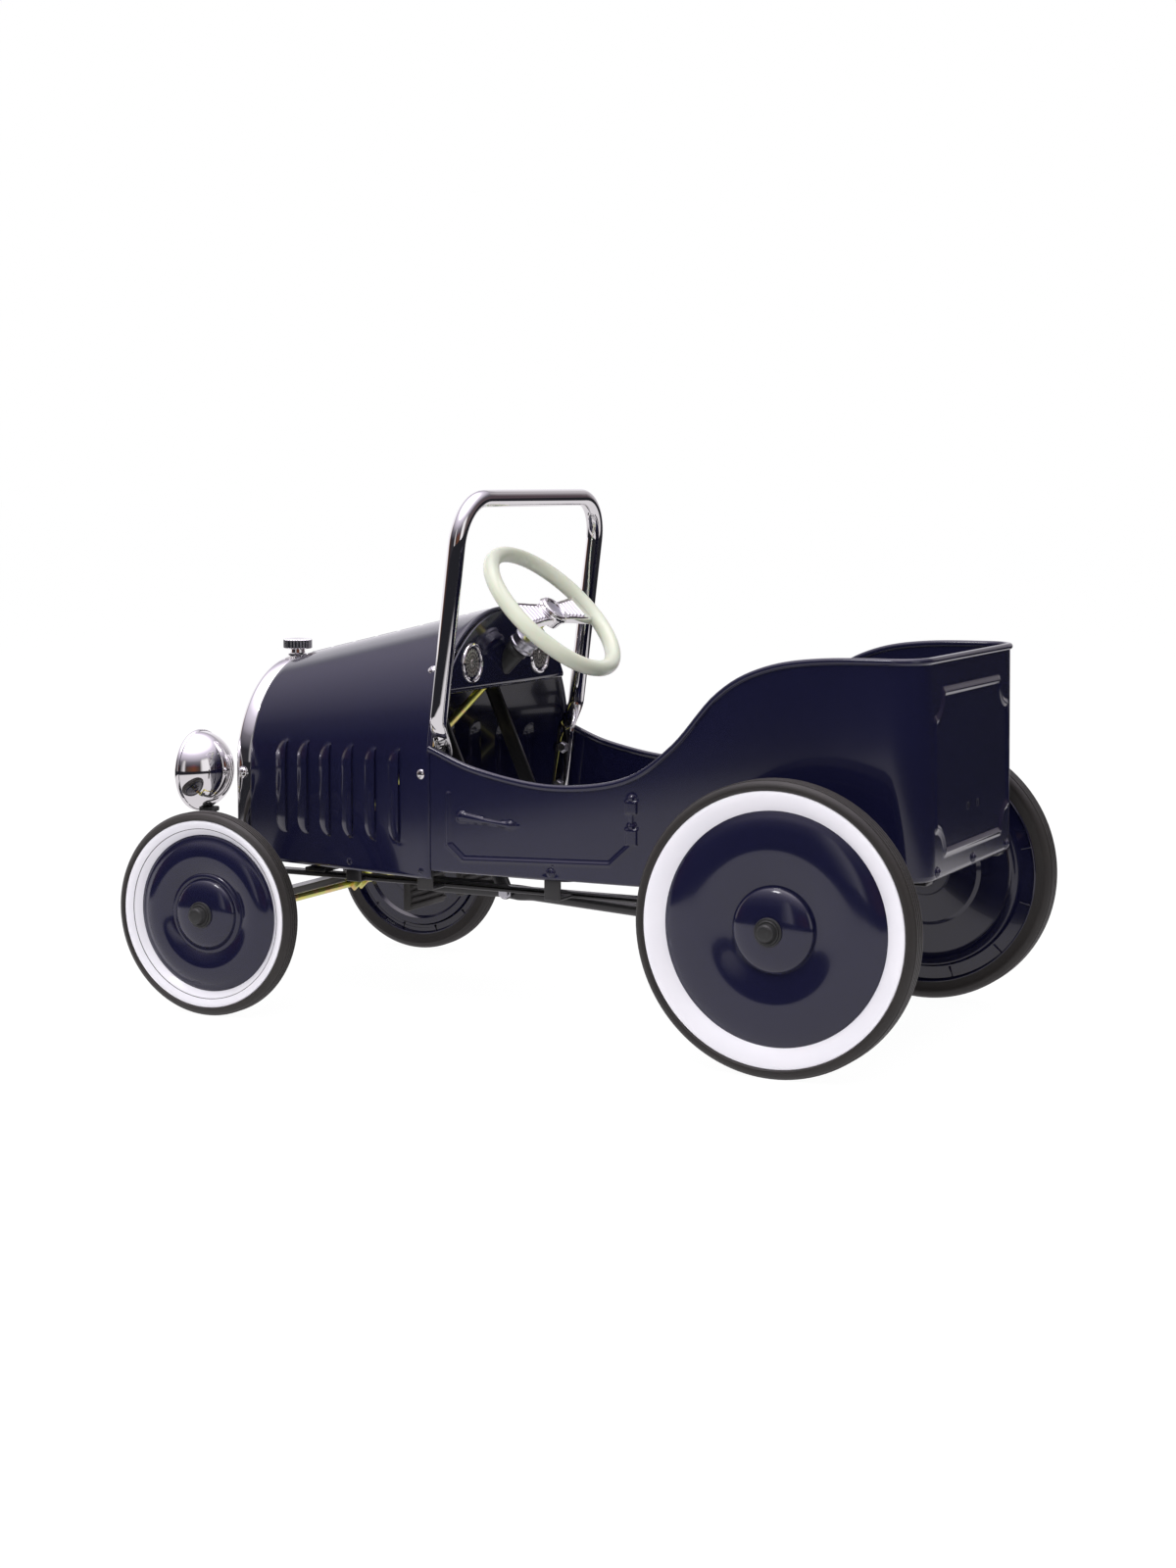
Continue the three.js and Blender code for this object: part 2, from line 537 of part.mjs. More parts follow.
// Tie rod: round bar with an eye at each end and a fork that the column's crank pin moves in.
{
  const { tieY, tieZ } = columnFoot;
  const reach = STEER.kingpinX;
  const r = STEER.tieRod;
  const parts = [barX(-reach + 4, reach - 4, tieY, tieZ, r, 12)];
  for (const sign of Object.values(SIDES)) {
    parts.push(ring(0, 8, -r, r, 18).translate(sign * reach, tieY, tieZ));
    const cheek = sign * (STEER.pin + 0.8);
    const [x0, x1] = ordered(cheek, cheek + sign * 3);
    const square = [[-2, -8], [10.5, -8], [10.5, 8], [-2, 8]].map(([up, across]) => [
      tieY + up * steerAxis.y + across * steerAxis.z, tieZ + up * steerAxis.z - across * steerAxis.y,
    ]);
    parts.push(sidePlate(outline(square), x0, x1));
  }
  const holes = Object.values(SIDES).map((sign) => ring(0, STEER.pin - 1 + RUN_GAP, -r - 1, r + 1, 14)
    .translate(sign * reach, tieY, tieZ));
  piece('tie_rod', cut(join(...parts), ...holes), FINISH.zinc);
}

// Column parts, in the column's own frame: +Z points up the shaft, +Y towards the rear and down.
{
  const { shaft, arm, pin, rimRadius, rimTube, spokeWidth, spokeThickness } = STEER;
  const foot = columnFoot.distance;
  const armAt = foot - 14;
  const rod = ring(0, shaft, -armAt, -spokeThickness - 8, 16);
  const lever = block(-7, 7, -8, arm + 7, -armAt, -armAt + 4);
  const crankPin = ring(0, pin, -foot + 6, -armAt + 1, 14).translate(0, arm, 0);
  piece('steering_shaft', join(rod, lever, crankPin), FINISH.zinc, column);

  const collarFoot = -STEER.collarTop - STEER.collarLength;
  const collar = ring(shaft + SEAT_GAP, STEER.collarRadius, collarFoot, -STEER.collarTop, 24);
  piece('steering_collar', collar, FINISH.chrome, column);
  const bossTop = collarFoot - 2 * SEAT_GAP;
  const boss = ring(shaft + RUN_GAP, STEER.bossRadius, bossTop - STEER.bossLength, bossTop, 20);
  piece('column_boss', boss, FINISH.black, column);

  piece('steering_rim', new THREE.TorusGeometry(rimRadius, rimTube, 8, 28), FINISH.cream, column);
  const inside = rimRadius - rimTube - SEAT_GAP - 0.3;
  const spoke = block(-inside, inside, -spokeWidth / 2, spokeWidth / 2, -spokeThickness, 0);
  const round = ring(0, inside, -spokeThickness, 0, 40);
  const hub = ring(0, 15, -spokeThickness - 7.5, 0, 20);
  piece('steering_spokes', join(common(spoke, round), hub), FINISH.chrome, column);
  const horn = turned([[0, SEAT_GAP], [15, SEAT_GAP], [14, 4], [8, 7], [0, 8]], 20);
  piece('steering_hub_cap', closed(horn), FINISH.chrome, column);
}

// ---------------------------------------------------------------- pedal drive
// Crank axle: two throws, left pin down and right pin up.
{
  const { spindle, plane, width, hubProud } = WHEEL.rear;
  const end = plane + width / 2 + hubProud - SEAT_GAP;
  const half = CRANK.pinLength / 2;
  const [webIn, webOut] = [CRANK.x - half - CRANK.web, CRANK.x + half + CRANK.web];
  const at = (x0, x1, radius, dz = 0) => barX(x0, x1, REAR_AXLE_Y, REAR_AXLE_Z + dz, radius, 16);
  const parts = [at(-webIn - 1, webIn + 1, spindle)];
  for (const sign of Object.values(SIDES)) {
    parts.push(at(sign * (webOut - 1), sign * end, spindle));
    const dz = -sign * CRANK.throw;
    parts.push(at(sign * (webIn + 1), sign * (webOut - 1), CRANK.pin, dz));
    const reach = CRANK.webWidth / 2;
    const [low, high] = ordered(0, dz);
    const heights = [REAR_AXLE_Z + low - reach, REAR_AXLE_Z + high + reach];
    for (const inner of [webIn, webOut - CRANK.web]) {
      const sides = ordered(sign * inner, sign * (inner + CRANK.web));
      parts.push(block(...sides, REAR_AXLE_Y - reach, REAR_AXLE_Y + reach, ...heights));
    }
  }
  piece('crank_axle', join(...parts), FINISH.black);
}

// The flattened end of each rod lies against its outer side, and the hanger beside the rod clears
// the round part too, wherever either of them stands.
const strapOut = CRANK.x + ROD.radius;
const hangerX = strapOut + HANGER.sideGap;
for (const [side, sign] of Object.entries(SIDES)) {
  const x = sign * CRANK.x;
  const pinZ = REAR_AXLE_Z - sign * CRANK.throw;
  const slope = (HANGER.boltZ - pinZ) / (HANGER.boltY - REAR_AXLE_Y);
  const heightAt = (y) => HANGER.boltZ + slope * (y - HANGER.boltY);
  const point = (y) => [x, y, heightAt(y)];
  const flatEnd = HANGER.boltY + ROD.flatLength;
  const rod = bar(point(flatEnd), point(REAR_AXLE_Y - ROD.eye + 2), ROD.radius, 12);
  const strapEnd = PEDAL.y + SEAT_GAP;
  const h = ROD.strapHeight / 2;
  const lapEnd = flatEnd + 6;
  const strap = outline([
    [strapEnd, HANGER.boltZ + 2 - h], [HANGER.boltY, HANGER.boltZ - h], [lapEnd, heightAt(lapEnd) - h],
    [lapEnd, heightAt(lapEnd) + h], [HANGER.boltY, HANGER.boltZ + h], [strapEnd, HANGER.boltZ + 2 + h],
  ]);
  const [strapLow, strapHigh] = ordered(sign * (strapOut - ROD.strapThickness), sign * strapOut);
  const flat = sidePlate(strap, strapLow, strapHigh);
  const eye = barX(x - ROD.eyeWidth / 2, x + ROD.eyeWidth / 2, REAR_AXLE_Y, pinZ, ROD.eye, 20);
  const bore = barX(x - ROD.eyeWidth, x + ROD.eyeWidth, REAR_AXLE_Y, pinZ, CRANK.pin + RUN_GAP, 16);
  piece(`pedal_rod_${side}`, join(cut(join(rod, eye), bore), flat), FINISH.black);

  const pad = block(x - PEDAL.width / 2, x + PEDAL.width / 2, PEDAL.y - PEDAL.thickness, PEDAL.y,
    PEDAL.bottom, PEDAL.bottom + PEDAL.height);
  const ribs = [];
  for (let i = 0; i < PEDAL.ribs; i += 1) {
    const z = PEDAL.bottom + (PEDAL.height * (i + 0.5)) / PEDAL.ribs;
    const clearOfRod = Math.abs(z - HANGER.boltZ - 2) > h + 3;
    const span = [[-PEDAL.width / 2 + 3, PEDAL.width / 2 - 3]];
    const split = [[-PEDAL.width / 2 + 3, -8], [8, PEDAL.width / 2 - 3]];
    for (const [a, b] of clearOfRod ? span : split) {
      ribs.push(block(x + a, x + b, PEDAL.y - 1, PEDAL.y + PEDAL.ribRise, z - 1.5, z + 1.5));
    }
  }
  piece(`pedal_pad_${side}`, join(pad, ...ribs), FINISH.rubber);

  // Hanger: flat strap from the pivot rod under the hood down to the pedal rod. Its bolt stops
  // short of the pedal rod, beside which it hangs with a side gap.
  const dy = HANGER.boltY - HANGER.pivotY;
  const dz = HANGER.boltZ - HANGER.pivotZ;
  const length = Math.hypot(dy, dz);
  const [ny, nz] = [(-dz / length) * (HANGER.width / 2), (dy / length) * (HANGER.width / 2)];
  const link = outline([
    [HANGER.pivotY + ny, HANGER.pivotZ + nz], [HANGER.boltY + ny, HANGER.boltZ + nz],
    [HANGER.boltY - ny, HANGER.boltZ - nz], [HANGER.pivotY - ny, HANGER.pivotZ - nz],
  ]);
  const [x0, x1] = ordered(sign * hangerX, sign * (hangerX + HANGER.thickness));
  const ends = [[HANGER.pivotY, HANGER.pivotZ], [HANGER.boltY, HANGER.boltZ]];
  const rounds = ends.map(([y, z]) => barX(x0, x1, y, z, HANGER.width / 2, 16));
  const body = join(sidePlate(link, x0, x1), ...rounds);
  const hole = barX(x0 - 1, x1 + 1, ...ends[0], HANGER.pivot + RUN_GAP, 16);
  const outside = sign > 0 ? x1 : x0;
  const bolt = barX(outside - sign, outside + sign * HANGER.boltHead, ...ends[1], HANGER.boltRadius, 10);
  piece(`pedal_hanger_${side}`, join(cut(body, hole), bolt), FINISH.black);
}
{
  const reach = hoodInnerX(HANGER.pivotY - 5, HANGER.pivotZ + 5) - SEAT_GAP;
  piece('hanger_pivot_rod', barX(-reach, reach, HANGER.pivotY, HANGER.pivotZ, HANGER.pivot, 14), FINISH.zinc);
}

// ---------------------------------------------------------------- wheels
// Heights are measured from the wheel's middle plane, outwards positive.
function wheel(name, spec, sign, y, z) {
  const { radius, width, wallHeight, bandWidth, dish, hubRadius, hubRise, capRadius, spindle } = spec;
  const half = width / 2;
  const segments = 24;
  const bandOuter = radius - wallHeight;
  const bandInner = bandOuter - bandWidth;
  const rim = (bandOuter + bandInner) / 2;
  const face = half - 1.3; // plane of the band's outer edge
  const seat = face - 3;
  const disc = face - dish - 2;
  const sheet = 2.5;
  const group = new THREE.Group();
  group.position.set(sign * spec.plane, y, z);
  group.rotation.y = sign * (Math.PI / 2);
  car.add(group);

  const tyre = [
    [rim + SEAT_GAP, -half + 2], [bandOuter + 1, -half], [radius - 3, -half + 1.5], [radius, -half * 0.5],
    [radius, half * 0.5], [radius - 3, half - 1.5], [bandOuter + 1, half], [bandOuter + SEAT_GAP, half - 0.8],
    [bandOuter + SEAT_GAP, seat - SEAT_GAP], [rim + SEAT_GAP, seat - SEAT_GAP], [rim + SEAT_GAP, -half + 2],
  ];
  piece(`tyre_${name}`, turned(tyre, segments), FINISH.rubber, group);

  const band = [
    [bandOuter, seat], [bandOuter, face], [rim, face - dish * 0.35], [bandInner, face - dish],
    [bandInner, disc + SEAT_GAP], [rim - SEAT_GAP, disc + SEAT_GAP], [rim - SEAT_GAP, seat],
    [bandOuter, seat],
  ];
  piece(`white_band_${name}`, turned(band, segments), FINISH.white, group);

  const hubFace = half + spec.hubProud - 0.4;
  const bore = spindle + RUN_GAP;
  const hubStep = hubFace - hubRise;
  const discProfile = [
    [bore, hubFace], [hubRadius * 0.7, hubFace - 1], [hubRadius, hubStep], [hubRadius + 12, hubStep],
    [bandInner * 0.78, hubStep], [bandInner - 2, disc], [rim, disc], [rim, -half + 3],
    [rim - sheet, -half + 3],
    [rim - sheet, disc - sheet], [bandInner - 4, disc - sheet], [bandInner * 0.78, hubStep - sheet],
    [hubRadius, hubStep - sheet], [hubRadius * 0.7, hubFace - 1 - sheet], [bore + 6, hubFace - 1 - sheet],
    [bore + 6, -half - 2], [bore, -half - 2], [bore, hubFace],
  ];
  piece(`wheel_disc_${name}`, turned(discProfile, segments), FINISH.navy, group);

  const capFoot = half + spec.hubProud;
  const capEnd = capFoot + spec.capLength;
  const capProfile = [
    [0, capFoot], [capRadius, capFoot], [capRadius, capFoot + 2], [capRadius - 4, capFoot + 2.5],
    [capRadius - 4, capEnd - 1], [capRadius - 5, capEnd], [0, capEnd],
  ];
  piece(`hub_cap_${name}`, closed(turned(capProfile, 20)), FINISH.black, group);
}

for (const [side, sign] of Object.entries(SIDES)) {
  wheel(`rear_${side}`, WHEEL.rear, sign, REAR_AXLE_Y, REAR_AXLE_Z);
  wheel(`front_${side}`, WHEEL.front, sign, FRONT_AXLE_Y, FRONT_AXLE_Z);
}

export default car;
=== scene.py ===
"""Looks of a child's pressed-steel pedal car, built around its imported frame.

Lengths inside this file are millimetres, turned into Blender's metres where a mesh is made.
The car faces -Y, its left side is +X, and the ground is Z = 0.
"""

import logging
import math
from contextlib import contextmanager
from dataclasses import dataclass, field
from enum import Enum
from typing import Callable, Iterator, Sequence

import bpy
import numpy as np
from mathutils import Matrix, Vector


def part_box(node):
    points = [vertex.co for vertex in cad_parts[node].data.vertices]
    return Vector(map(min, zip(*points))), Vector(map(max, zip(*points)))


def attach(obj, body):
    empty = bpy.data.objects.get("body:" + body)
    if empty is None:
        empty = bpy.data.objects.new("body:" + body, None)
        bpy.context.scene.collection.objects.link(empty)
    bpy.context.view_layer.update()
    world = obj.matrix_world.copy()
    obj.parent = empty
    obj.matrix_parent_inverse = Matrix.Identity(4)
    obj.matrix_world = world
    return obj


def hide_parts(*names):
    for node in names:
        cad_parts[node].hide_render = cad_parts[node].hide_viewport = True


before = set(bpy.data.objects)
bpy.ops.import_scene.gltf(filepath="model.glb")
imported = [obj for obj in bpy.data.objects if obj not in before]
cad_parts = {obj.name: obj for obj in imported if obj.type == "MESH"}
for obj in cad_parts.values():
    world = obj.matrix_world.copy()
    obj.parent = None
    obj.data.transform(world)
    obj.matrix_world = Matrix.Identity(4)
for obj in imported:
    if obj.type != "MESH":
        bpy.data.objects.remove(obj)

logging.basicConfig(level=logging.INFO, format="%(message)s")
log = logging.getLogger("pedal_car")

MM = 0.001
Pair = tuple[float, float]
Point = tuple[float, float, float]
Colour = tuple[float, float, float]
Profile = Sequence[Pair]
Piece = bpy.types.Object
Socket = bpy.types.NodeSocket
Array = np.ndarray
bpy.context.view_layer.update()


class Side(Enum):
    """The two sides of the car, valued by the sign of X."""

    LEFT = 1
    RIGHT = -1

    @property
    def word(self) -> str:
        """The side's name in lower case."""
        return self.name.lower()


class Axis(Enum):
    """Directions that a turned piece's own Z can point in."""

    X = Vector((1, 0, 0))
    MINUS_X = Vector((-1, 0, 0))
    Y = Vector((0, 1, 0))
    Z = Vector((0, 0, 1))


# ------------------------------------------------------------------ modelling bench
def node_box(name: str) -> tuple[Array, Array]:
    """Gives a frame node's box.

    Args:
        name: the node's name.

    Returns:
        Its lowest and highest corners, in millimetres.
    """
    low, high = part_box(name)
    return np.array(low) / MM, np.array(high) / MM


def node_centre(name: str) -> Array:
    """Gives the middle of a frame node's box, in millimetres."""
    low, high = node_box(name)
    return (low + high) / 2


def pick(piece: Piece) -> None:
    """Selects one piece alone and makes it the active one."""
    bpy.ops.object.select_all(action="DESELECT")
    piece.select_set(True)
    bpy.context.view_layer.objects.active = piece


@contextmanager
def editing(piece: Piece) -> Iterator[None]:
    """Holds one piece in edit mode with everything on it selected."""
    pick(piece)
    bpy.ops.object.mode_set(mode="EDIT")
    bpy.ops.mesh.select_all(action="SELECT")
    try:
        yield
    finally:
        bpy.ops.object.mode_set(mode="OBJECT")


def settle(piece: Piece, name: str) -> Piece:
    """Names a piece and moves its place into its mesh, so that the object sits at the origin."""
    bpy.context.view_layer.update()
    piece.data.transform(piece.matrix_world)
    piece.matrix_world = Matrix.Identity(4)
    piece.name = name
    piece.data.name = name
    return piece


def finish_with(piece: Piece, kind: str, **values: object) -> None:
    """Adds a modifier to a piece with the given settings and applies it."""
    pick(piece)
    modifier = piece.modifiers.new(kind.lower(), kind)
    for key, value in values.items():
        setattr(modifier, key, value)
    bpy.ops.object.modifier_apply(modifier=modifier.name)


def soften(piece: Piece, width: float, segments: int = 2, angle: float = 35) -> None:
    """Rounds a piece's hard edges.

    Args:
        piece: the object to round.
        width: the rounding's width, in millimetres.
        segments: facets across the rounding.
        angle: edges sharper than this, in degrees, are rounded.
    """
    finish_with(piece, "BEVEL", width=width * MM, segments=segments, limit_method="ANGLE",
        angle_limit=math.radians(angle), harden_normals=False)


def smooth(piece: Piece, angle: float = 38) -> Piece:
    """Shades a piece smooth, apart from edges sharper than the angle in degrees."""
    pick(piece)
    bpy.ops.object.shade_smooth_by_angle(angle=math.radians(angle))
    return piece


def points_of(piece: Piece) -> Array:
    """Gives a piece's points in millimetres, one row each."""
    flat = np.zeros(len(piece.data.vertices) * 3)
    piece.data.vertices.foreach_get("co", flat)
    return flat.reshape(-1, 3) / MM


def move_points(piece: Piece, points: Array) -> None:
    """Puts a piece's points at new places, in millimetres."""
    piece.data.vertices.foreach_set("co", (points * MM).ravel())
    piece.data.update()


def heal(piece: Piece, distance: float) -> None:
    """Merges points that lie within a distance, in millimetres, and turns the faces outwards."""
    with editing(piece):
        bpy.ops.mesh.remove_doubles(threshold=distance * MM)
        bpy.ops.mesh.normals_make_consistent(inside=False)


def turned(name: str, profile: Profile, centre: Sequence[float], axis: Axis | Vector = Axis.Z,
        segments: int = 96, angle: float = 38) -> Piece:
    """Turns a profile into a solid of revolution by extruding a ring from point to point.

    Args:
        name: the piece's name.
        profile: (radius, height) points in millimetres; the last may repeat the first.
        centre: where the profile's origin goes, in millimetres.
        axis: the direction that the profile's height points in.
        segments: facets round the piece.
        angle: edges sharper than this, in degrees, stay sharp.

    Returns:
        The finished piece.
    """
    tiny = 0.01
    points = [(max(r, tiny), h) for r, h in profile]
    bpy.ops.object.select_all(action="DESELECT")
    bpy.ops.mesh.primitive_circle_add(vertices=segments, radius=points[0][0] * MM, location=(0, 0, 0))
    piece = bpy.context.object
    with editing(piece):
        bpy.ops.transform.translate(value=(0, 0, points[0][1] * MM))
        for (r0, h0), (r1, h1) in zip(points, points[1:]):
            bpy.ops.mesh.extrude_region_move(TRANSFORM_OT_translate={"value": (0, 0, (h1 - h0) * MM)})
            if abs(r1 - r0) > 1e-6:
                bpy.ops.transform.resize(value=(r1 / r0, r1 / r0, 1), center_override=(0, 0, 0))
        bpy.ops.mesh.select_all(action="SELECT")
        bpy.ops.mesh.remove_doubles(threshold=0.025 * MM)
        bpy.ops.mesh.normals_make_consistent(inside=False)
    direction = axis.value if isinstance(axis, Axis) else axis
    turn = direction.to_track_quat("Z", "Y").to_matrix().to_4x4()
    piece.matrix_world = Matrix.Translation(Vector(centre) * MM) @ turn
    return smooth(settle(piece, name), angle)


def pressed(name: str, across: Array, along: Array, surface: Callable[[Array, Array], Array],
        wall: float = 0) -> Piece:
    """Presses a sheet: a grid whose points are laid on a surface.

    Args:
        name: the piece's name.
        across: the first parameter's stations.
        along: the second parameter's stations.
        surface: gives points in millimetres, one row each, for arrays of both parameters.
        wall: the sheet's thickness, in millimetres, put on behind it; 0 leaves it thin.

    Returns:
        The finished sheet.
    """
    nx, ny = len(across) - 1, len(along) - 1
    bpy.ops.object.select_all(action="DESELECT")
    bpy.ops.mesh.primitive_grid_add(x_subdivisions=nx, y_subdivisions=ny, size=1)
    piece = bpy.context.object
    flat = points_of(piece) * MM
    i = np.rint((flat[:, 0] + 0.5) * nx).astype(int)
    j = np.rint((flat[:, 1] + 0.5) * ny).astype(int)
    move_points(piece, surface(across[i], along[j]))
    settle(piece, name)
    if wall:
        finish_with(piece, "SOLIDIFY", thickness=wall * MM, offset=-1)
    return smooth(piece, 50)


def spline(points: Sequence[Point], steps: int = 12) -> list[Vector]:
    """Runs a smooth curve through points.

    Args:
        points: the points it passes, in millimetres.
        steps: how many stretches lie between two points.

    Returns:
        The curve's points, in metres.
    """
    knots = [Vector(p) * MM for p in points]
    knots = [2 * knots[0] - knots[1], *knots, 2 * knots[-1] - knots[-2]]
    path = []
    for a, b, c, d in zip(knots, knots[1:], knots[2:], knots[3:]):
        for k in range(steps):
            t = k / steps
            path.append(0.5 * (2 * b + (c - a) * t + (2 * a - 5 * b + 4 * c - d) * t**2 + (3 * b - a - 3 * c
                    + d) * t**3))
    return [*path, knots[-2]]


def swept(name: str, path: Sequence[Vector], radius: float, sides: int = 6, closed: bool = False) -> Piece:
    """Sweeps a round section along a path.

    Args:
        name: the piece's name.
        path: points in metres.
        radius: the section's radius, in millimetres.
        sides: facets in a quarter of the section.
        closed: whether the path joins its own start.

    Returns:
        The tube as a mesh.
    """
    bpy.ops.object.select_all(action="DESELECT")
    bpy.ops.curve.primitive_bezier_curve_add()
    piece = bpy.context.object
    curve = piece.data
    curve.splines.clear()
    line = curve.splines.new("POLY")
    line.points.add(len(path) - 1)
    for point, place in zip(line.points, path):
        point.co = (*place, 1)
    line.use_cyclic_u = closed
    curve.bevel_depth = radius * MM
    curve.bevel_resolution = sides
    curve.use_fill_caps = not closed
    bpy.ops.object.convert(target="MESH")
    piece = settle(bpy.context.object, name)
    heal(piece, 0.005)
    return smooth(piece, 45)


def slab(name: str, low: Sequence[float], high: Sequence[float], rounding: float = 0.6) -> Piece:
    """Makes a plate or block between two corners, in millimetres, with rounded edges."""
    size = [(h - l) * MM for l, h in zip(low, high)]
    middle = [(h + l) / 2 * MM for l, h in zip(low, high)]
    bpy.ops.object.select_all(action="DESELECT")
    bpy.ops.mesh.primitive_cube_add(size=1, location=middle)
    piece = bpy.context.object
    with editing(piece):
        bpy.ops.transform.resize(value=size, center_override=middle)
    settle(piece, name)
    soften(piece, min(rounding, 0.45 * min(size) / MM))
    return smooth(piece)


def joined(name: str, parts: Sequence[Piece]) -> Piece:
    """Joins parts into one piece with its own mesh."""
    bpy.ops.object.select_all(action="DESELECT")
    for part in parts:
        part.select_set(True)
    bpy.context.view_layer.objects.active = parts[0]
    bpy.ops.object.join()
    return settle(bpy.context.object, name)


def moved_copy(piece: Piece, name: str, matrix: Matrix) -> Piece:
    """Copies a piece with a mesh of its own, moved by a matrix."""
    copy = piece.copy()
    copy.data = piece.data.copy()
    bpy.context.collection.objects.link(copy)
    copy.data.transform(matrix)
    copy.name = copy.data.name = name
    return copy


def stations(*stretches: Point) -> Array:
    """Lays stations end to end.

    Args:
        stretches: (start, end, step) for each stretch, each starting where the last ended.

    Returns:
        Sorted stations without repeats.
    """
    values = [np.linspace(a, b, max(1, round(abs(b - a) / step)) + 1) for a, b, step in stretches]
    joined_values = np.concatenate(values)
    return joined_values[np.concatenate(([True], np.abs(np.diff(joined_values)) > 1e-6))]


# ------------------------------------------------------------------ pressed relief
def ease(x: Array) -> Array:
    """Smooth step from 0 to 1 over 0 to 1."""
    x = np.clip(x, 0, 1)
    return x * x * (3 - 2 * x)


def bead(distance: Array, half_width: float, height: float) -> Array:
    """Height of a rounded bead at a distance from its middle line."""
    return height * ease(1 - np.abs(distance) / half_width)


def line_distance(a: Array, b: Array, points: Profile) -> Array:
    """Distance from (a, b) to a chain of straight lines.

    Args:
        a: first coordinates.
        b: second coordinates.
        points: the chain's corners.

    Returns:
        The distance to the nearest line, for each pair of coordinates.
    """
    best = np.full(a.shape, 1e9)
    for (a0, b0), (a1, b1) in zip(points, points[1:]):
        da, db = a1 - a0, b1 - b0
        t = np.clip(((a - a0) * da + (b - b0) * db) / (da * da + db * db), 0, 1)
        best = np.minimum(best, np.hypot(a - a0 - t * da, b - b0 - t * db))
    return best


def arc_distance(a: Array, b: Array, centre: Pair, radius: float, quarter: tuple[int, int]) -> Array:
    """Distance to a quarter circle that lies on the side of its centre given by two signs."""
    da, db = a - centre[0], b - centre[1]
    inside = (da * quarter[0] >= 0) & (db * quarter[1] >= 0)
    return np.where(inside, np.abs(np.hypot(da, db) - radius), 1e9)


def pad(a: Array, b: Array, centre: Pair, half: Pair, height: float, edge: float = 1.6) -> Array:
    """Height of a flat-topped raised patch with eased edges."""
    return (height * ease((half[0] - np.abs(a - centre[0])) / edge) * ease((half[1] - np.abs(b - centre[1]))
            / edge))


# ------------------------------------------------------------------ materials
class Graph:
    """A node tree that is filled from left to right."""

    def __init__(self, tree: bpy.types.NodeTree) -> None:
        """Takes the tree to fill."""
        self.tree = tree

    def add(self, kind: str, inputs: dict | None = None, **settings: object) -> bpy.types.Node:
        """Adds a node.

        Args:
            kind: the node's type.
            inputs: socket name or number to a value, or to the socket that feeds it.
            settings: the node's own properties.

        Returns:
            The new node.
        """
        node = self.tree.nodes.new(kind)
        for key, value in settings.items():
            setattr(node, key, value)
        for key, value in (inputs or {}).items():
            if isinstance(value, Socket):
                self.tree.links.new(value, node.inputs[key])
            else:
                node.inputs[key].default_value = value
        return node

    def calc(self, operation: str, a: object, b: object = None, clamp: bool = False) -> Socket:
        """Adds a maths node and gives its result."""
        inputs = {0: a} if b is None else {0: a, 1: b}
        return self.add("ShaderNodeMath", inputs, operation=operation, use_clamp=clamp).outputs[0]

    def blend(self, share: object, a: object, b: object, kind: str = "MIX") -> Socket:
        """Adds a blend of two colours and gives its result."""
        node = self.add("ShaderNodeMix", {0: share, 6: a, 7: b}, data_type="RGBA", blend_type=kind)
        return node.outputs[2]

    def ramp(self, factor: Socket, stops: Sequence[tuple[float, tuple]]) -> Socket:
        """Adds a colour ramp and gives its colour."""
        node = self.add("ShaderNodeValToRGB", {"Fac": factor})
        elements = node.color_ramp.elements
        while len(elements) < len(stops):
            elements.new(0.5)
        for element, (place, colour) in zip(elements, stops):
            element.position = place
            element.color = colour
        return node.outputs["Color"]


def fresh_material(name: str) -> tuple[bpy.types.Material, Graph]:
    """Starts an empty material and gives it with its graph."""
    material = bpy.data.materials.new(name)
    material.use_nodes = True
    material.node_tree.nodes.clear()
    return material, Graph(material.node_tree)


def node_group(name: str, inputs: dict[str, float], outputs: Sequence[str]) -> tuple[bpy.types.NodeTree,
        Graph]:
    """Starts a shared shader group with float inputs and outputs."""
    tree = bpy.data.node_groups.new(name, "ShaderNodeTree")
    for key, value in inputs.items():
        socket = tree.interface.new_socket(name=key, in_out="INPUT", socket_type="NodeSocketFloat")
        socket.default_value = value
    for key in outputs:
        tree.interface.new_socket(name=key, in_out="OUTPUT", socket_type="NodeSocketFloat")
    return tree, Graph(tree)


def grain_group() -> bpy.types.NodeTree:
    """Builds the grain group: fine and broad unevenness of a surface, as heights.

    Returns:
        The group, with Fine and Broad scales in and Height and Patch out.
    """
    tree, graph = node_group("surface_grain", {"Fine": 900, "Broad": 14, "Mix": 0.3}, ("Height", "Patch"))
    source = graph.add("NodeGroupInput")
    where = graph.add("ShaderNodeTexCoord").outputs["Object"]
    fine = graph.add("ShaderNodeTexNoise", {"Vector": where, "Scale": source.outputs["Fine"], "Detail": 3.0})
    broad = graph.add("ShaderNodeTexNoise", {"Vector": where, "Scale": source.outputs["Broad"],
            "Detail": 2.0})
    both = graph.add("ShaderNodeMix", {0: source.outputs["Mix"], 2: fine.outputs["Fac"],
            3: broad.outputs["Fac"]})
    graph.add("NodeGroupOutput", {"Height": both.outputs[0], "Patch": broad.outputs["Fac"]})
    return tree


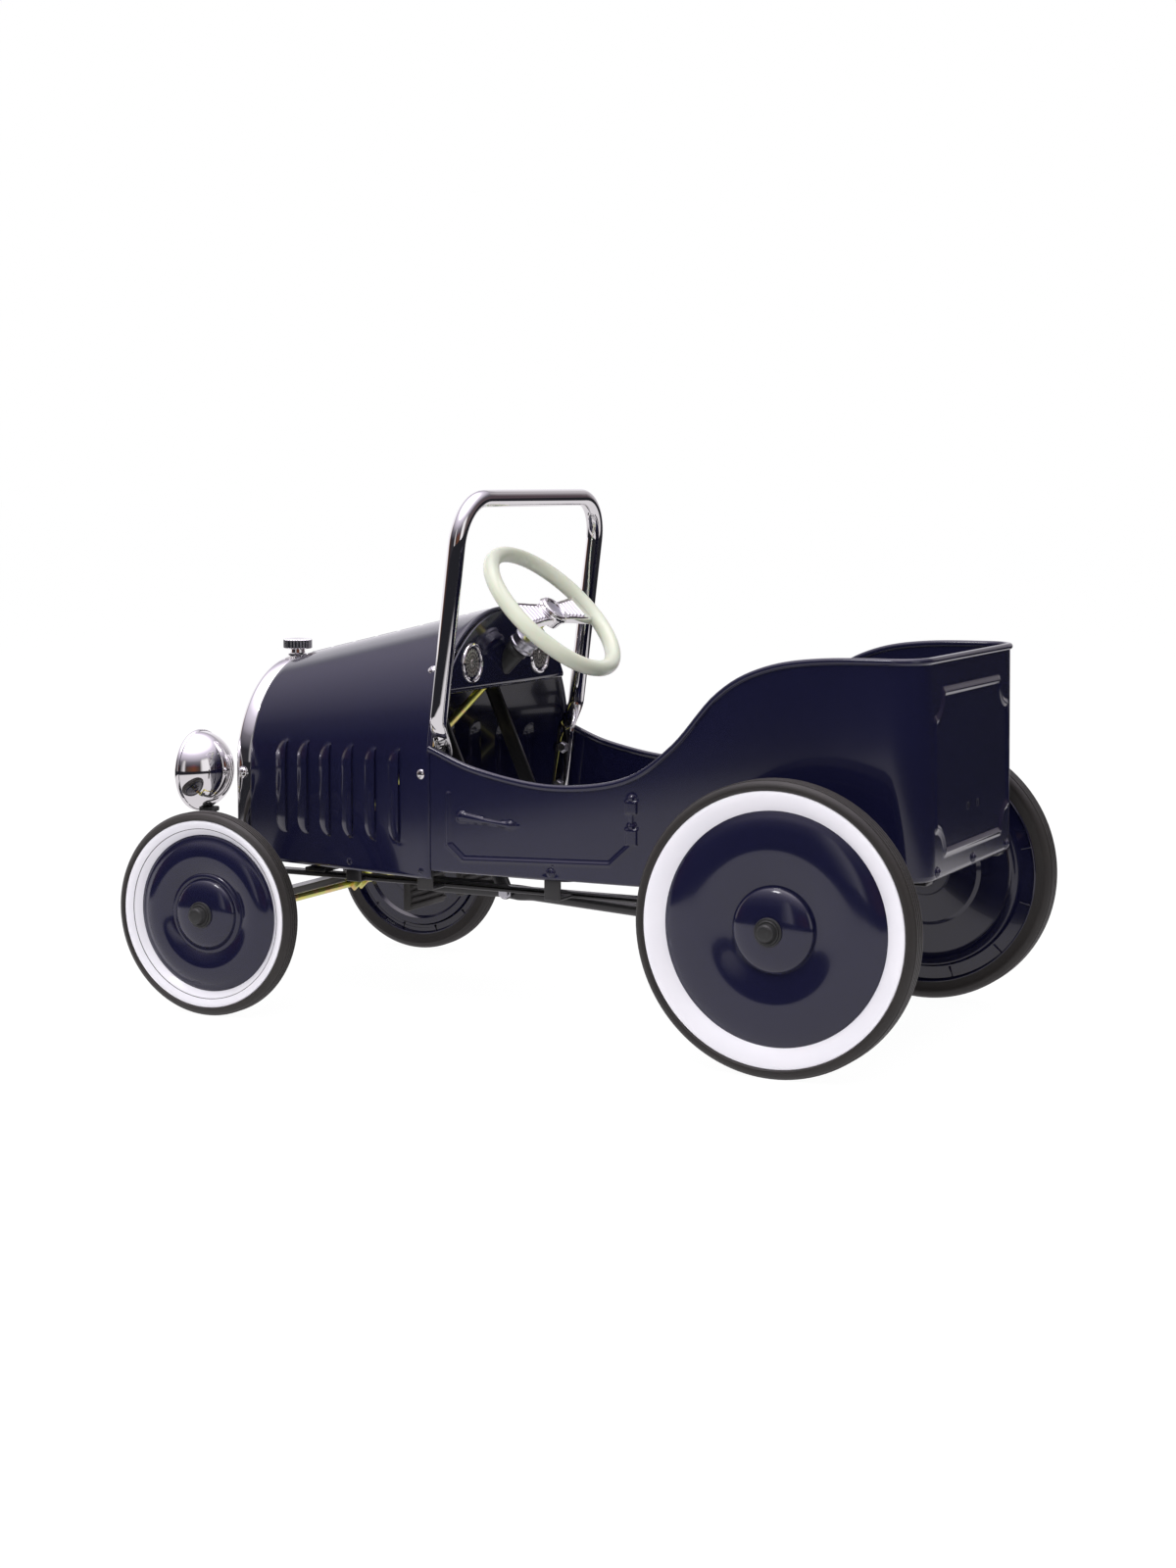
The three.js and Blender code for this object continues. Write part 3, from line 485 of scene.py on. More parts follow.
def handling_group() -> bpy.types.NodeTree:
    """Builds the handling group: faint smears and settled dust on a nearly new toy.

    Returns:
        The group, with Base, Spread and Dust in and Roughness and Dusty out.
    """
    tree, graph = node_group("handling", {"Base": 0.2, "Spread": 0.08, "Dust": 0.05}, ("Roughness", "Dusty"))
    source = graph.add("NodeGroupInput").outputs
    where = graph.add("ShaderNodeTexCoord").outputs["Object"]
    smear = graph.add("ShaderNodeTexNoise", {"Vector": where, "Scale": 38.0, "Detail": 5.0,
            "Distortion": 0.6})
    swing = graph.calc("MULTIPLY", graph.calc("SUBTRACT", smear.outputs["Fac"], 0.5), source["Spread"])
    total = graph.calc("ADD", swing, source["Base"], clamp=True)
    upward = graph.add("ShaderNodeSeparateXYZ", {0: graph.add("ShaderNodeNewGeometry").outputs["Normal"]})
    facing = graph.calc("MULTIPLY", upward.outputs["Z"], source["Dust"], clamp=True)
    speck = graph.add("ShaderNodeTexNoise", {"Vector": where, "Scale": 160.0, "Detail": 4.0})
    dusty = graph.calc("MULTIPLY", facing, speck.outputs["Fac"])
    graph.add("NodeGroupOutput", {"Roughness": total, "Dusty": dusty})
    return tree


GRAIN = grain_group()
HANDLING = handling_group()


@dataclass(frozen=True)
class Finish:
    """A surface: colour, gloss and unevenness, made as one material.

    Attributes give linear colour, the second colour that patches drift to, roughness and its
    spread, metalness, coat, bump height in millimetres with its grain scales, and dust.
    """

    name: str
    slot: str
    colour: Colour
    patch: Colour
    roughness: float
    spread: float = 0.05
    metallic: float = 0.0
    coat: float = 0.0
    coat_roughness: float = 0.05
    bump: float = 0.02
    fine: float = 900.0
    broad: float = 14.0
    blend: float = 0.3
    dust: float = 0.05
    dust_colour: Colour = (0.35, 0.34, 0.33)
    subsurface: float = 0.0
    sheen: float = 0.0
    ior: float = 1.5

    def build(self) -> bpy.types.Material:
        """Makes the material, with its Principled shader's constant values set on the shader itself."""
        material, graph = fresh_material(self.name)
        grain = graph.add("ShaderNodeGroup", node_tree=GRAIN)
        for key, value in {"Fine": self.fine, "Broad": self.broad, "Mix": self.blend}.items():
            grain.inputs[key].default_value = value
        wear = graph.add("ShaderNodeGroup", node_tree=HANDLING)
        for key, value in {"Base": self.roughness, "Spread": self.spread, "Dust": self.dust}.items():
            wear.inputs[key].default_value = value
        tint = graph.ramp(grain.outputs["Patch"], [(0.35, (*self.colour, 1)), (0.7, (*self.patch, 1))])
        base = self.detail(graph, graph.blend(wear.outputs["Dusty"], tint, (*self.dust_colour, 1)))
        bump = graph.add("ShaderNodeBump", {"Strength": 1.0, "Distance": self.bump * MM,
                "Height": grain.outputs["Height"]})
        shader = graph.add("ShaderNodeBsdfPrincipled", {"Base Color": base,
                "Roughness": wear.outputs["Roughness"], "Normal": bump.outputs["Normal"],
                "Metallic": self.metallic, "Coat Weight": self.coat, "Coat Roughness": self.coat_roughness,
                "Subsurface Weight": self.subsurface, "Subsurface Scale": 2 * MM,
                "Sheen Weight": self.sheen, "IOR": self.ior,})
        graph.add("ShaderNodeOutputMaterial", {"Surface": shader.outputs["BSDF"]})
        return material

    def detail(self, graph: Graph, base: Socket) -> Socket:
        """Gives the base colour as it is; finishes with a pattern of their own change it."""
        return base


@dataclass(frozen=True)
class ZincFinish(Finish):
    """Yellow-passivated zinc, whose colour drifts between straw, green and rose."""

    def detail(self, graph: Graph, base: Socket) -> Socket:
        """Lays the drifting tints over the base colour."""
        where = graph.add("ShaderNodeTexCoord").outputs["Object"]
        drift = graph.add("ShaderNodeTexNoise", {"Vector": where, "Scale": 55.0, "Detail": 3.0,
                "Distortion": 1.2})
        tints = graph.ramp(drift.outputs["Fac"], [(0.3, (0.86, 0.80, 0.16, 1)), (0.45, (0.66, 0.78, 0.24,
                1)), (0.58, (0.90, 0.66, 0.28, 1)), (0.72, (0.78, 0.42, 0.34, 1))])
        return graph.blend(0.65, base, tints)


@dataclass(frozen=True)
class DialFinish(Finish):
    """Stamped dial face: rings and rays round each gauge's centre, in bright and dark metal."""

    centre_x: float = 67.0
    centre_z: float = 325.0
    ring_waves: float = 1900.0
    ray_count: float = 18.0

    def detail(self, graph: Graph, base: Socket) -> Socket:
        """Stamps rings and rays, alike on both gauges."""
        place = graph.add("ShaderNodeSeparateXYZ", {0: graph.add("ShaderNodeTexCoord").outputs["Object"]})
        dx = graph.calc("SUBTRACT", graph.calc("ABSOLUTE", place.outputs["X"]), self.centre_x * MM)
        dz = graph.calc("SUBTRACT", place.outputs["Z"], self.centre_z * MM)
        flat = graph.add("ShaderNodeCombineXYZ", {"X": dx, "Y": dz})
        distance = graph.add("ShaderNodeVectorMath", {0: flat.outputs[0]}, operation="LENGTH")
        rings = graph.calc("SINE", graph.calc("MULTIPLY", distance.outputs["Value"], self.ring_waves))
        rays = graph.calc("SINE", graph.calc("MULTIPLY", graph.calc("ARCTAN2", dz, dx), self.ray_count))
        level = graph.add("ShaderNodeMapRange", {"Value": graph.calc("ADD", rings, rays), "From Min": -2.0,
                "From Max": 2.0})
        stamped = graph.ramp(level.outputs[0], [(0.25, (0.10, 0.095, 0.09, 1)), (0.6, (0.78, 0.75, 0.70, 1))])
        return graph.blend(0.85, base, stamped)


NAVY = Finish("navy_enamel", "navy_enamel", (0.0068, 0.0070, 0.0270), (0.0062, 0.0064, 0.0240), 0.13, 0.05,
    coat=0.4, coat_roughness=0.03, bump=0.006, fine=260.0, broad=9.0, blend=0.75, dust=0.003)
BLACK_ENAMEL = Finish("black_enamel", "black_enamel", (0.010, 0.010, 0.011), (0.014, 0.013, 0.013), 0.34,
    0.1, coat=0.2, bump=0.02, fine=500.0, dust=0.04)
WHITE = Finish("white_enamel", "white_enamel", (0.80, 0.775, 0.83), (0.77, 0.75, 0.81), 0.26, 0.06,
    coat=0.4, bump=0.008, fine=240.0, dust=0.02)
CHROME = Finish("chrome", "chrome", (0.83, 0.82, 0.82), (0.80, 0.79, 0.80), 0.045, 0.03, metallic=1.0,
    bump=0.004, fine=160.0, broad=16.0, blend=0.8, dust=0.01)
DULL_CHROME = Finish("dull_chrome", "chrome", (0.62, 0.62, 0.66), (0.52, 0.52, 0.56), 0.3, 0.12,
    metallic=1.0, bump=0.02, fine=420.0, dust=0.02)
ZINC = ZincFinish("zinc_plate", "zinc_plate", (0.60, 0.52, 0.14), (0.50, 0.46, 0.16), 0.3, 0.1,
    metallic=1.0, bump=0.02, fine=600.0, dust=0.02)
CREAM = Finish("cream_plastic", "cream_plastic", (0.67, 0.69, 0.57), (0.63, 0.655, 0.535), 0.3, 0.08,
    coat=0.5, coat_roughness=0.12, bump=0.012, fine=300.0, subsurface=0.15, dust=0.005)
BLACK_PLASTIC = Finish("black_plastic", "black_plastic", (0.014, 0.014, 0.015), (0.02, 0.02, 0.02), 0.42,
    0.1, bump=0.03, fine=1300.0, blend=0.1, dust=0.03)
RUBBER = Finish("tyre_rubber", "tyre_rubber", (0.0135, 0.0115, 0.0105), (0.020, 0.017, 0.015), 0.5, 0.14,
    bump=0.05, fine=1100.0, blend=0.25, dust=0.05, dust_colour=(0.10, 0.085, 0.07), sheen=0.05)
PEDAL_RUBBER = Finish("pedal_rubber", "pedal_rubber", (0.022, 0.020, 0.019), (0.03, 0.028, 0.026), 0.6,
    0.12, bump=0.05, fine=1200.0, blend=0.2, dust=0.06)
DIAL = DialFinish("dial_face", "chrome", (0.35, 0.34, 0.32), (0.3, 0.29, 0.28), 0.28, 0.08, metallic=0.9,
    bump=0.03, fine=700.0)
# Near-black finish of painted shade: it fills the screw slots and the rear panel's holes, and is the core
# behind the radiator bars.
PAINTED_SHADE_BLACK = Finish("painted_shade_black", "black_enamel", (0.006, 0.006, 0.007), (0.009, 0.009, 0.01), 0.6, 0.1,
    bump=0.02, dust=0.02)
BRASS = Finish("bush_brass", "zinc_plate", (0.55, 0.36, 0.16), (0.42, 0.27, 0.12), 0.35, 0.12, metallic=1.0,
    bump=0.02, dust=0.02)


def lamp_glass() -> bpy.types.Material:
    """Makes the clear, faintly fluted glass of the headlights."""
    material, graph = fresh_material("lamp_glass")
    place = graph.add("ShaderNodeSeparateXYZ", {0: graph.add("ShaderNodeTexCoord").outputs["Object"]})
    flutes = graph.calc("SINE", graph.calc("MULTIPLY", place.outputs["X"], 1250.0))
    bump = graph.add("ShaderNodeBump", {"Strength": 1.0, "Distance": 0.25 * MM, "Height": flutes})
    shader = graph.add("ShaderNodeBsdfPrincipled", {"Base Color": (0.94, 0.96, 0.97, 1), "Roughness": 0.03,
            "Transmission Weight": 1.0, "IOR": 1.45, "Normal": bump.outputs["Normal"]})
    graph.add("ShaderNodeOutputMaterial", {"Surface": shader.outputs["BSDF"]})
    return material


class Paintbox:
    """Makes each finish's material once and hands it out."""

    def __init__(self) -> None:
        """Starts with no materials made."""
        self.made: dict[str, bpy.types.Material] = {"lamp_glass": lamp_glass()}

    def material(self, finish: Finish) -> bpy.types.Material:
        """Gives the material of a finish."""
        if finish.name not in self.made:
            self.made[finish.name] = finish.build()
        return self.made[finish.name]

    def dress(self, piece: Piece, finish: Finish, body: str, *nodes: str) -> Piece:
        """Finishes a piece, sets it riding and says which nodes it stands for.

        Args:
            piece: the object.
            finish: what it is finished in.
            body: the frame body that it moves with.
            nodes: the frame nodes that it replaces, if any.

        Returns:
            The same piece.
        """
        piece.data.materials.clear()
        piece.data.materials.append(self.material(finish))
        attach(piece, body)
        if nodes:
            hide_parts(*nodes)
        log.info("%s: %d faces on %s", piece.name, len(piece.data.polygons), body)
        return piece


# ------------------------------------------------------------------ wheels
@dataclass
class Wheel:
    """One pressed-steel wheel with its ribbed tyre, white band and hub cap."""

    corner: str
    side: Side
    body: str
    box: Paintbox
    dish: float
    band_width: float
    tread_ribs: int = 4

    def __post_init__(self) -> None:
        """Takes the wheel's place and size from its tyre in the frame."""
        low, high = node_box(f"tyre_{self.corner}")
        self.radius = (high[2] - low[2]) / 2
        self.half = (high[0] - low[0]) / 2
        self.centre = (low + high) / 2
        band_low, band_high = node_box(f"white_band_{self.corner}")
        self.band_outer = (band_high[2] - band_low[2]) / 2
        self.band_inner = self.band_outer - self.band_width
        self.outward = Axis.X if self.side is Side.LEFT else Axis.MINUS_X
        self.face = self.half - 1.2
        disc_low, disc_high = node_box(f"wheel_disc_{self.corner}")
        self.hub = abs((disc_high if self.side is Side.LEFT else disc_low)[0] - self.centre[0])

    def turned(self, name: str, profile: Profile, segments: int = 128) -> Piece:
        """Turns a profile about the wheel's axle, with heights outwards from its middle plane."""
        return turned(f"{name}_{self.corner}", profile, self.centre, self.outward, segments)

    def tyre(self) -> None:
        """Models the tyre: flat ribbed tread, rounded shoulders and a plain side wall."""
        r, half, ribs = self.radius, self.half, self.tread_ribs
        foot = self.band_outer
        shoulder = half - 4.2
        profile = [(foot + 0.3, half - 4.0), (foot + 0.3, half - 1.6), (foot + 0.9, half - 0.7),
            (foot + 2.4, half - 0.2), (r - 5.2, half - 0.5), (r - 3.2, half - 1.3), (r - 1.6, half - 2.7),
            (r - 0.9, shoulder)]
        pitch = 2 * shoulder / ribs
        for k in range(ribs):
            start = shoulder - k * pitch
            profile += [(r - 1.5, start - 0.25), (r - 0.25, start - 0.75), (r, start - 1.3),
                (r, start - pitch + 1.3), (r - 0.25, start - pitch + 0.75), (r - 1.5, start - pitch + 0.25)]
        profile += [(r - 0.9, -shoulder), (r - 1.6, 2.7 - half), (r - 3.2, 1.3 - half),
            (r - 5.2, 0.5 - half), (foot + 2.4, 0.2 - half), (foot + 0.6, 0.9 - half),
            (foot - 4, 2.2 - half), (foot - 8, 2.6 - half), (foot - 8, half - 4.0), (foot + 0.3,
                half - 4.0)]
        self.box.dress(self.turned("rubber_tyre", profile), RUBBER, self.body, f"tyre_{self.corner}")

    def band(self) -> None:
        """Models the dished white band, with a rolled outer lip and an eased inner edge."""
        outer, inner, face, dish = self.band_outer, self.band_inner, self.face, self.dish
        width = outer - inner
        profile = [(outer, face - 3), (outer, face - 0.6), (outer - 0.5, face), (outer - 1.4, face + 0.15)]
        steps = 14
        for k in range(1, steps + 1):
            t = k / steps
            profile.append((outer - 1.4 - t * (width - 1.4), face + 0.15 - (dish + 0.15) * t**1.5))
        profile += [(inner, face - dish - 1.8), (outer, face - dish - 1.8), (outer, face - 3)]
        self.box.dress(self.turned("enamel_band", profile), WHITE, self.body, f"white_band_{self.corner}")

    def disc_face(self) -> list[Pair]:
        """Gives the outer skin's profile, from the rim in to the bore."""
        raise NotImplementedError

    def dome(self, radius: float, foot: float) -> list[Pair]:
        """Gives the hub's domed profile, from its foot in to the bore."""
        reach = self.hub - foot
        turns = np.linspace(0.1, 1.3, 15)
        return [(radius * math.cos(a), foot + reach * math.sin(a)) for a in turns] + [(7.0, self.hub)]

    def disc(self) -> None:
        """Models the two-skinned disc: the bright outer pressing and the stepped inner one."""
        face = self.disc_face()
        rim, level = face[0]
        bore = face[-1][0]
        back = -self.half + 2.4
        r = self.band_outer
        inner = [(bore, level - 14), (bore + 8, level - 14), (bore + 8.6, -self.half + 0.6),
            (bore + 17, -self.half + 0.4), (bore + 18.5, -self.half + 3.2), (r * 0.44, -self.half + 4.2),
            (r * 0.47, -self.half + 7.4), (r * 0.70, -self.half + 8.2), (r * 0.73, -self.half + 5.2),
            (r * 0.80, -self.half + 4.8), (r * 0.82, -self.half + 8.0), (r - 9.5, -self.half + 8.4),
            (r - 8.2, back), (r - 7.4, back - 0.4), (r - 6.8, back), (r - 6.8, level - 2.0),
            (rim, level - 2.0), (rim, level)]
        skin = self.turned("disc_skin", [*face, *inner])
        parts = [skin]
        ribs = 12
        for k in range(ribs):
            turn = 2 * math.pi * (k + 0.5) / ribs
            rib = slab("rib", (r * 0.83, -0.9, -self.half + 6.4), (r - 9.0, 0.9, -self.half + 9.6), 0.5)
            spin = Matrix.Rotation(turn, 4, "Z")
            stand = self.outward.value.to_track_quat("Z", "Y").to_matrix().to_4x4()
            rib.data.transform(Matrix.Translation(Vector(self.centre) * MM) @ stand @ spin)
            parts.append(rib)
        whole = joined(f"pressed_disc_{self.corner}", parts)
        self.box.dress(whole, NAVY, self.body, f"wheel_disc_{self.corner}")

    def cap(self) -> None:
        """Models the black push-on cap: a dished collar and a stepped, rounded nose."""
        low, high = node_box(f"hub_cap_{self.corner}")
        length = high[0] - low[0]
        foot = self.hub
        tip = self.hub + 0.4 + length
        collar, nose = 12.0, 7.8
        profile = [(0.0, foot - 0.6), (collar, foot - 0.6), (collar + 0.3, foot + 0.6), (collar - 0.2,
                foot + 1.6), (collar - 1.2, foot + 2.0), (collar - 1.6, foot + 1.7), (collar - 1.8,
                foot + 3.0), (collar - 2.6, foot + 3.5), (nose + 0.3, foot + 3.2), (nose, foot + 3.6),
            (nose - 0.2, tip - 2.2), (nose - 0.9, tip - 1.0), (nose - 2.2, tip - 0.3), (nose - 4.2, tip),
            (0.0, tip)]
        self.box.dress(self.turned("push_cap", profile, 64), BLACK_PLASTIC, self.body,
            f"hub_cap_{self.corner}")

    def build(self) -> None:
        """Makes all four pieces."""
        self.tyre()
        self.band()
        self.disc()
        self.cap()


class RearWheel(Wheel):
    """Large rear wheel: a shallow dome with a groove round a domed hub."""

    def disc_face(self) -> list[Pair]:
        """Gives the rear disc's outer profile."""
        low = self.face - self.dish
        inner = self.band_inner
        return [(inner + 1.0, low - 0.6), (inner - 0.6, low - 0.2), (inner - 1.6, low + 0.5), (inner - 2.6,
                low + 0.8), (inner - 4, low + 1.6), (inner - 9, low + 3.4), (inner - 16, low + 4.9),
            (inner - 25, low + 5.9), (68, low + 6.3), (62, low + 6.1), (56, low + 5.3), (50, low + 4.1),
            (44, low + 2.8), (40, low + 2.0), (37.8, low + 1.7), (37.0, low + 1.5), *self.dome(36.6,
                low + 2.2)]


class FrontWheel(Wheel):
    """Small front wheel: a raised torus ring round a stepped hub."""

    def disc_face(self) -> list[Pair]:
        """Gives the front disc's outer profile."""
        low = self.face - self.dish
        inner = self.band_inner
        return [(inner + 1.0, low - 0.6), (inner - 0.6, low - 0.2), (inner - 1.6, low + 0.5), (inner - 3.2,
                low + 1.1), (inner - 4.6, low + 1.3), (inner - 7, low + 2.9), (inner - 11, low + 5.0),
            (57, low + 6.2), (52, low + 6.5), (48, low + 6.0), (44, low + 4.9), (40.5, low + 3.6),
            (38.2, low + 2.7), (37.2, low + 2.2), (36.6, low + 2.9), (35.0, low + 3.5), (33.4, low + 3.5),
            (32.4, low + 3.0), *self.dome(31.8, low + 3.5)]


# ------------------------------------------------------------------ shapes of the body
def mix(a: float, b: float, t: Array) -> Array:
    """Blends from a to b as t goes from 0 to 1."""
    return a + (b - a) * t


@dataclass
class HoodShape:
    """The hood's arch, which grows from the radiator to the cockpit."""

    front_y: float = -309.0
    rear_y: float = -95.3
    foot: float = 134.0
    half: Pair = (102.0, 136.5)
    spring: Pair = (219.0, 239.0)
    crown: Pair = (321.0, 372.0)

    def section(self, y: Array) -> tuple[Array, Array, Array]:
        """Gives half width, springing height and crown height at a station."""
        t = (y - self.front_y) / (self.rear_y - self.front_y)
        return mix(*self.half, t), mix(*self.spring, t), mix(*self.crown, t)

    def section_at(self, y: float) -> tuple[float, ...]:
        """Gives the section's three sizes at one station."""
        return tuple(float(v) for v in self.section(np.array(y)))

    def place(self, p: Array, y: Array, inset: float = 0) -> tuple[Array, Array]:
        """Gives points on the arch and the directions out of it.

        Args:
            p: place round the arch: 0 at the crown, ±1 at the springing, ±2 at the foot.
            y: station along the hood.
            inset: how far inside the arch the points are.

        Returns:
            Points and unit outward directions, one row each.
        """
        p, y = np.broadcast_arrays(np.asarray(p, float), np.asarray(y, float))
        half, spring, crown = self.section(y)
        side = np.sign(p)
        over = np.clip(np.abs(p), 0, 1) * np.pi / 2
        down = np.clip(np.abs(p) - 1, 0, 1)
        rise = crown - spring
        x = half * np.sin(over) * side
        z = np.where(np.abs(p) <= 1, spring + rise * np.cos(over), mix(spring, self.foot, down))
        nx, nz = np.sin(over) / half * side, np.cos(over) / rise
        size = np.hypot(nx, nz)
        normal = np.stack([nx / size, np.zeros_like(x), nz / size], axis=-1)
        return np.stack([x, y, z], axis=-1) - inset * normal, normal

    def param_at(self, y: float, z: float) -> float:
        """Gives the left side's arch parameter at a station and height."""
        _, spring, crown = self.section(np.array(float(y)))
        if z < spring:
            return 1 + (spring - z) / (spring - self.foot)
        return math.acos(min(1.0, (z - spring) / (crown - spring))) * 2 / math.pi

    def on_side(self, y: float, z: float, side: Side = Side.LEFT) -> tuple[Vector, Vector]:
        """Gives the point and outward direction on one side at a station and height."""
        point, normal = self.place(side.value * self.param_at(y, z), y)
        return Vector(point), Vector(normal)


@dataclass
class TubShape:
    """The tub's outside: plan, leaning sides, cut-down edge and stepped foot."""

    front_y: float = -95.0
    rear_y: float = 373.0
    corner: float = 28.0
    half: float = 137.0
    rear_half: float = 135.0
    foot_half: float = 126.0
    bottom: float = 140.0
    rear_bottom: float = 160.0
    step: Pair = (136.0, 206.0)
    rim_z: float = 346.0
    lean: float = 6.0
    edge: Sequence[Pair] = ((-95, 253), (-46, 235), (27, 224), (97, 233), (144, 264), (186, 311),
        (226, 334), (280, 344), (374, 346))

    def __post_init__(self) -> None:
        """Runs the top edge's curve once."""
        curve = spline([(y, z, 0) for y, z in self.edge])
        self.edge_y = np.array([p.x for p in curve]) / MM
        self.edge_z = np.array([p.y for p in curve]) / MM
        self.side_run = self.rear_y - self.corner - self.front_y
        self.arc_run = self.corner * math.pi / 2
        self.half_run = self.side_run + self.arc_run + self.half - self.corner
        self.run = 2 * self.half_run

    def top(self, y: Array) -> Array:
        """Height of the top edge at a station."""
        return np.interp(y, self.edge_y, self.edge_z)

    def foot(self, y: Array) -> Array:
        """Height of the bottom edge at a station."""
        return mix(self.bottom, self.rear_bottom, ease((y - self.step[0]) / (self.step[1] - self.step[0])))

    def place(self, s: Array, z: Array, inset: float = 0) -> tuple[Array, Array]:
        """Gives points on the tub's side and the directions out of it.

        Args:
            s: run along the plan, from the left front edge round the back to the right front edge.
            z: height.
            inset: how far inside the outer face the points are.

        Returns:
            Points and unit outward directions, one row each.
        """
        s, z = np.broadcast_arrays(np.asarray(s, float), np.asarray(z, float))
        right = s > self.half_run
        run = np.where(right, self.run - s, s)
        turn = np.clip((run - self.side_run) / self.corner, 0, math.pi / 2)
        across = np.clip(run - self.side_run - self.arc_run, 0, None)
        x = self.half - self.corner + self.corner * np.cos(turn) - across
        y = self.front_y + np.clip(run, 0, self.side_run) + self.corner * np.sin(turn)
        back = (y - self.front_y) / (self.rear_y - self.front_y)
        up = (z - self.bottom) / (self.rim_z - self.bottom)
        x = x * mix(self.half, mix(self.foot_half, self.rear_half, up), back) / self.half
        y = y - self.lean * up * np.clip((y - 250) / 123, 0, 1)
        sign = np.where(right, -1.0, 1.0)
        normal = np.stack([np.cos(turn) * sign, np.sin(turn), np.zeros_like(x)], axis=-1)
        return np.stack([x * sign, y, z], axis=-1) - inset * normal, normal

    def on_side(self, y: float, z: float, side: Side = Side.LEFT) -> tuple[Vector, Vector]:
        """Gives the point and outward direction on one side at a station and height."""
        run = y - self.front_y
        point, normal = self.place(run if side is Side.LEFT else self.run - run, z)
        return Vector(point), Vector(normal)

    def on_back(self, x: float, z: float) -> tuple[Vector, Vector]:
        """Gives the point and outward direction on the rear panel."""
        scale = mix(self.foot_half, self.rear_half, (z - self.bottom) / (self.rim_z
                - self.bottom)) / self.half
        point, normal = self.place(self.half_run - x / scale, z)
        return Vector(point), Vector(normal)


HOOD_SHAPE = HoodShape()
TUB_SHAPE = TubShape()
SCREEN_BOLT = (-108.0, 320.0)
STEERING_CENTRE = (0.0, -40.0, 371.0)
STEERING_ARM = 38.0


def tie_rod_place() -> Pair:
    """Gives the station and height of the tie rod's middle line, where the steering arm's pin meets it."""
    y = node_centre("front_axle_beam")[1] + STEERING_ARM
    _, wheel_y, wheel_z = STEERING_CENTRE
    root = math.sqrt(0.5)
    return y, wheel_z + ((y - wheel_y) * root - STEERING_ARM) / root


# ------------------------------------------------------------------ fasteners
class Head(Enum):
    """Kinds of fastener head."""

    DOME = "dome"
    SCREW = "screw"
    HEX = "hex"


@dataclass
class Fasteners:
    """Makes and places the small bolts, screws and rivets of the body."""

    box: Paintbox

    def head(self, name: str, place: Vector, out: Vector, radius: float, kind: Head, finish: Finish,
            body: str = "chassis") -> Piece:
        """Makes one fastener head standing on a surface.

        Args:
            name: the piece's name.
            place: the point on the surface, in millimetres.
            out: the surface's outward direction.
            radius: the head's radius, in millimetres.
            kind: its shape.
            finish: what it is finished in.
            body: the body it moves with.

        Returns:
            The finished head.
        """
        tall = radius * {Head.DOME: 0.55, Head.SCREW: 0.5, Head.HEX: 0.75}[kind]
        washer = [(0, -0.8), (radius * 1.25, -0.8), (radius * 1.25, 0.35), (radius * 1.12, 0.6)]
        if kind is Head.HEX:
            crown = [(radius * 0.98, 0.6), (radius, 0.9), (radius, tall), (radius * 0.86, tall + 0.5),
                (0, tall + 0.5)]
            piece = turned(name, [*washer, *crown], place, out, segments=6, angle=25)
        else:
            crown = [(radius * math.cos(a), 0.5 + tall * math.sin(a)) for a in np.linspace(0.1, math.pi / 2
                    - 0.12, 6)]
            dip = [(radius * 0.3, 0.5 + tall * 0.97), (radius * 0.16, 0.1 + tall * 0.6),
                (0, 0.1 + tall * 0.55)]
            piece = turned(name, [*washer, *crown, *(dip if kind is Head.SCREW else [(0, 0.5 + tall)])],
                place, out, segments=24)
        if kind is Head.SCREW:
            # The cross slot is filled with near-black bars: painted shade inside the screw's slot.
            arms = []
            turn = out.to_track_quat("Z", "Y").to_matrix().to_4x4()
            for quarter in (0, math.pi / 2):
                arm = slab("arm", (-radius * 0.55, -radius * 0.11, tall * 0.35), (radius * 0.55, radius
                        * 0.11, 0.56 + tall * 0.93), 0.1)
                arm.data.transform(Matrix.Translation(place * MM) @ turn @ Matrix.Rotation(quarter, 4, "Z"))
                arms.append(arm)
            slot_shade = joined(f"{name}_recess", arms)
            self.box.dress(slot_shade, PAINTED_SHADE_BLACK, body)
        return self.box.dress(piece, finish, body)

    def build(self) -> None:
        """Places the fasteners of hood and tub, alike on both sides, and the bolts and holes of the rear
        panel.
        """
        for side in Side:
            word = side.word
            for index, (y, z, radius, kind, finish) in enumerate(((-103, 228, 5.0, Head.SCREW, CHROME),
                        (-103, 140, 4.2, Head.SCREW, NAVY), (-187, 141, 4.0, Head.SCREW, NAVY),
                        (*SCREEN_BOLT, 4.6, Head.SCREW, CHROME))):
                place, out = HOOD_SHAPE.on_side(y, z, side)
                self.head(f"hood_bolt_{word}_{index + 1}", place, out, radius, kind, finish)
            place, out = TUB_SHAPE.on_side(27, 147, side)
            self.head(f"tub_bolt_{word}", place - 1.2 * out, out, 4.2, Head.SCREW, NAVY)
        for index, x in enumerate((-96, 0, 96)):
            place, out = TUB_SHAPE.on_back(x, 167)
            self.head(f"rear_panel_bolt_{index + 1}", place, out, 4.0, Head.DOME, NAVY)
        for index, x in enumerate((-13.5, 13.5)):
            place, out = TUB_SHAPE.on_back(x, 214)
            # Each hole is a near-black dished disc with a raised lip: painted shade standing in for the open
            # hole.
            rim = turned(f"rear_panel_hole_{index + 1}", [(0, -0.6), (2.6, -0.6), (2.9, 0.1), (3.4, 0.15),
                    (3.6, -0.3), (3.6, -0.9), (0, -0.9)], place, out, segments=24)
            self.box.dress(rim, PAINTED_SHADE_BLACK, "chassis")


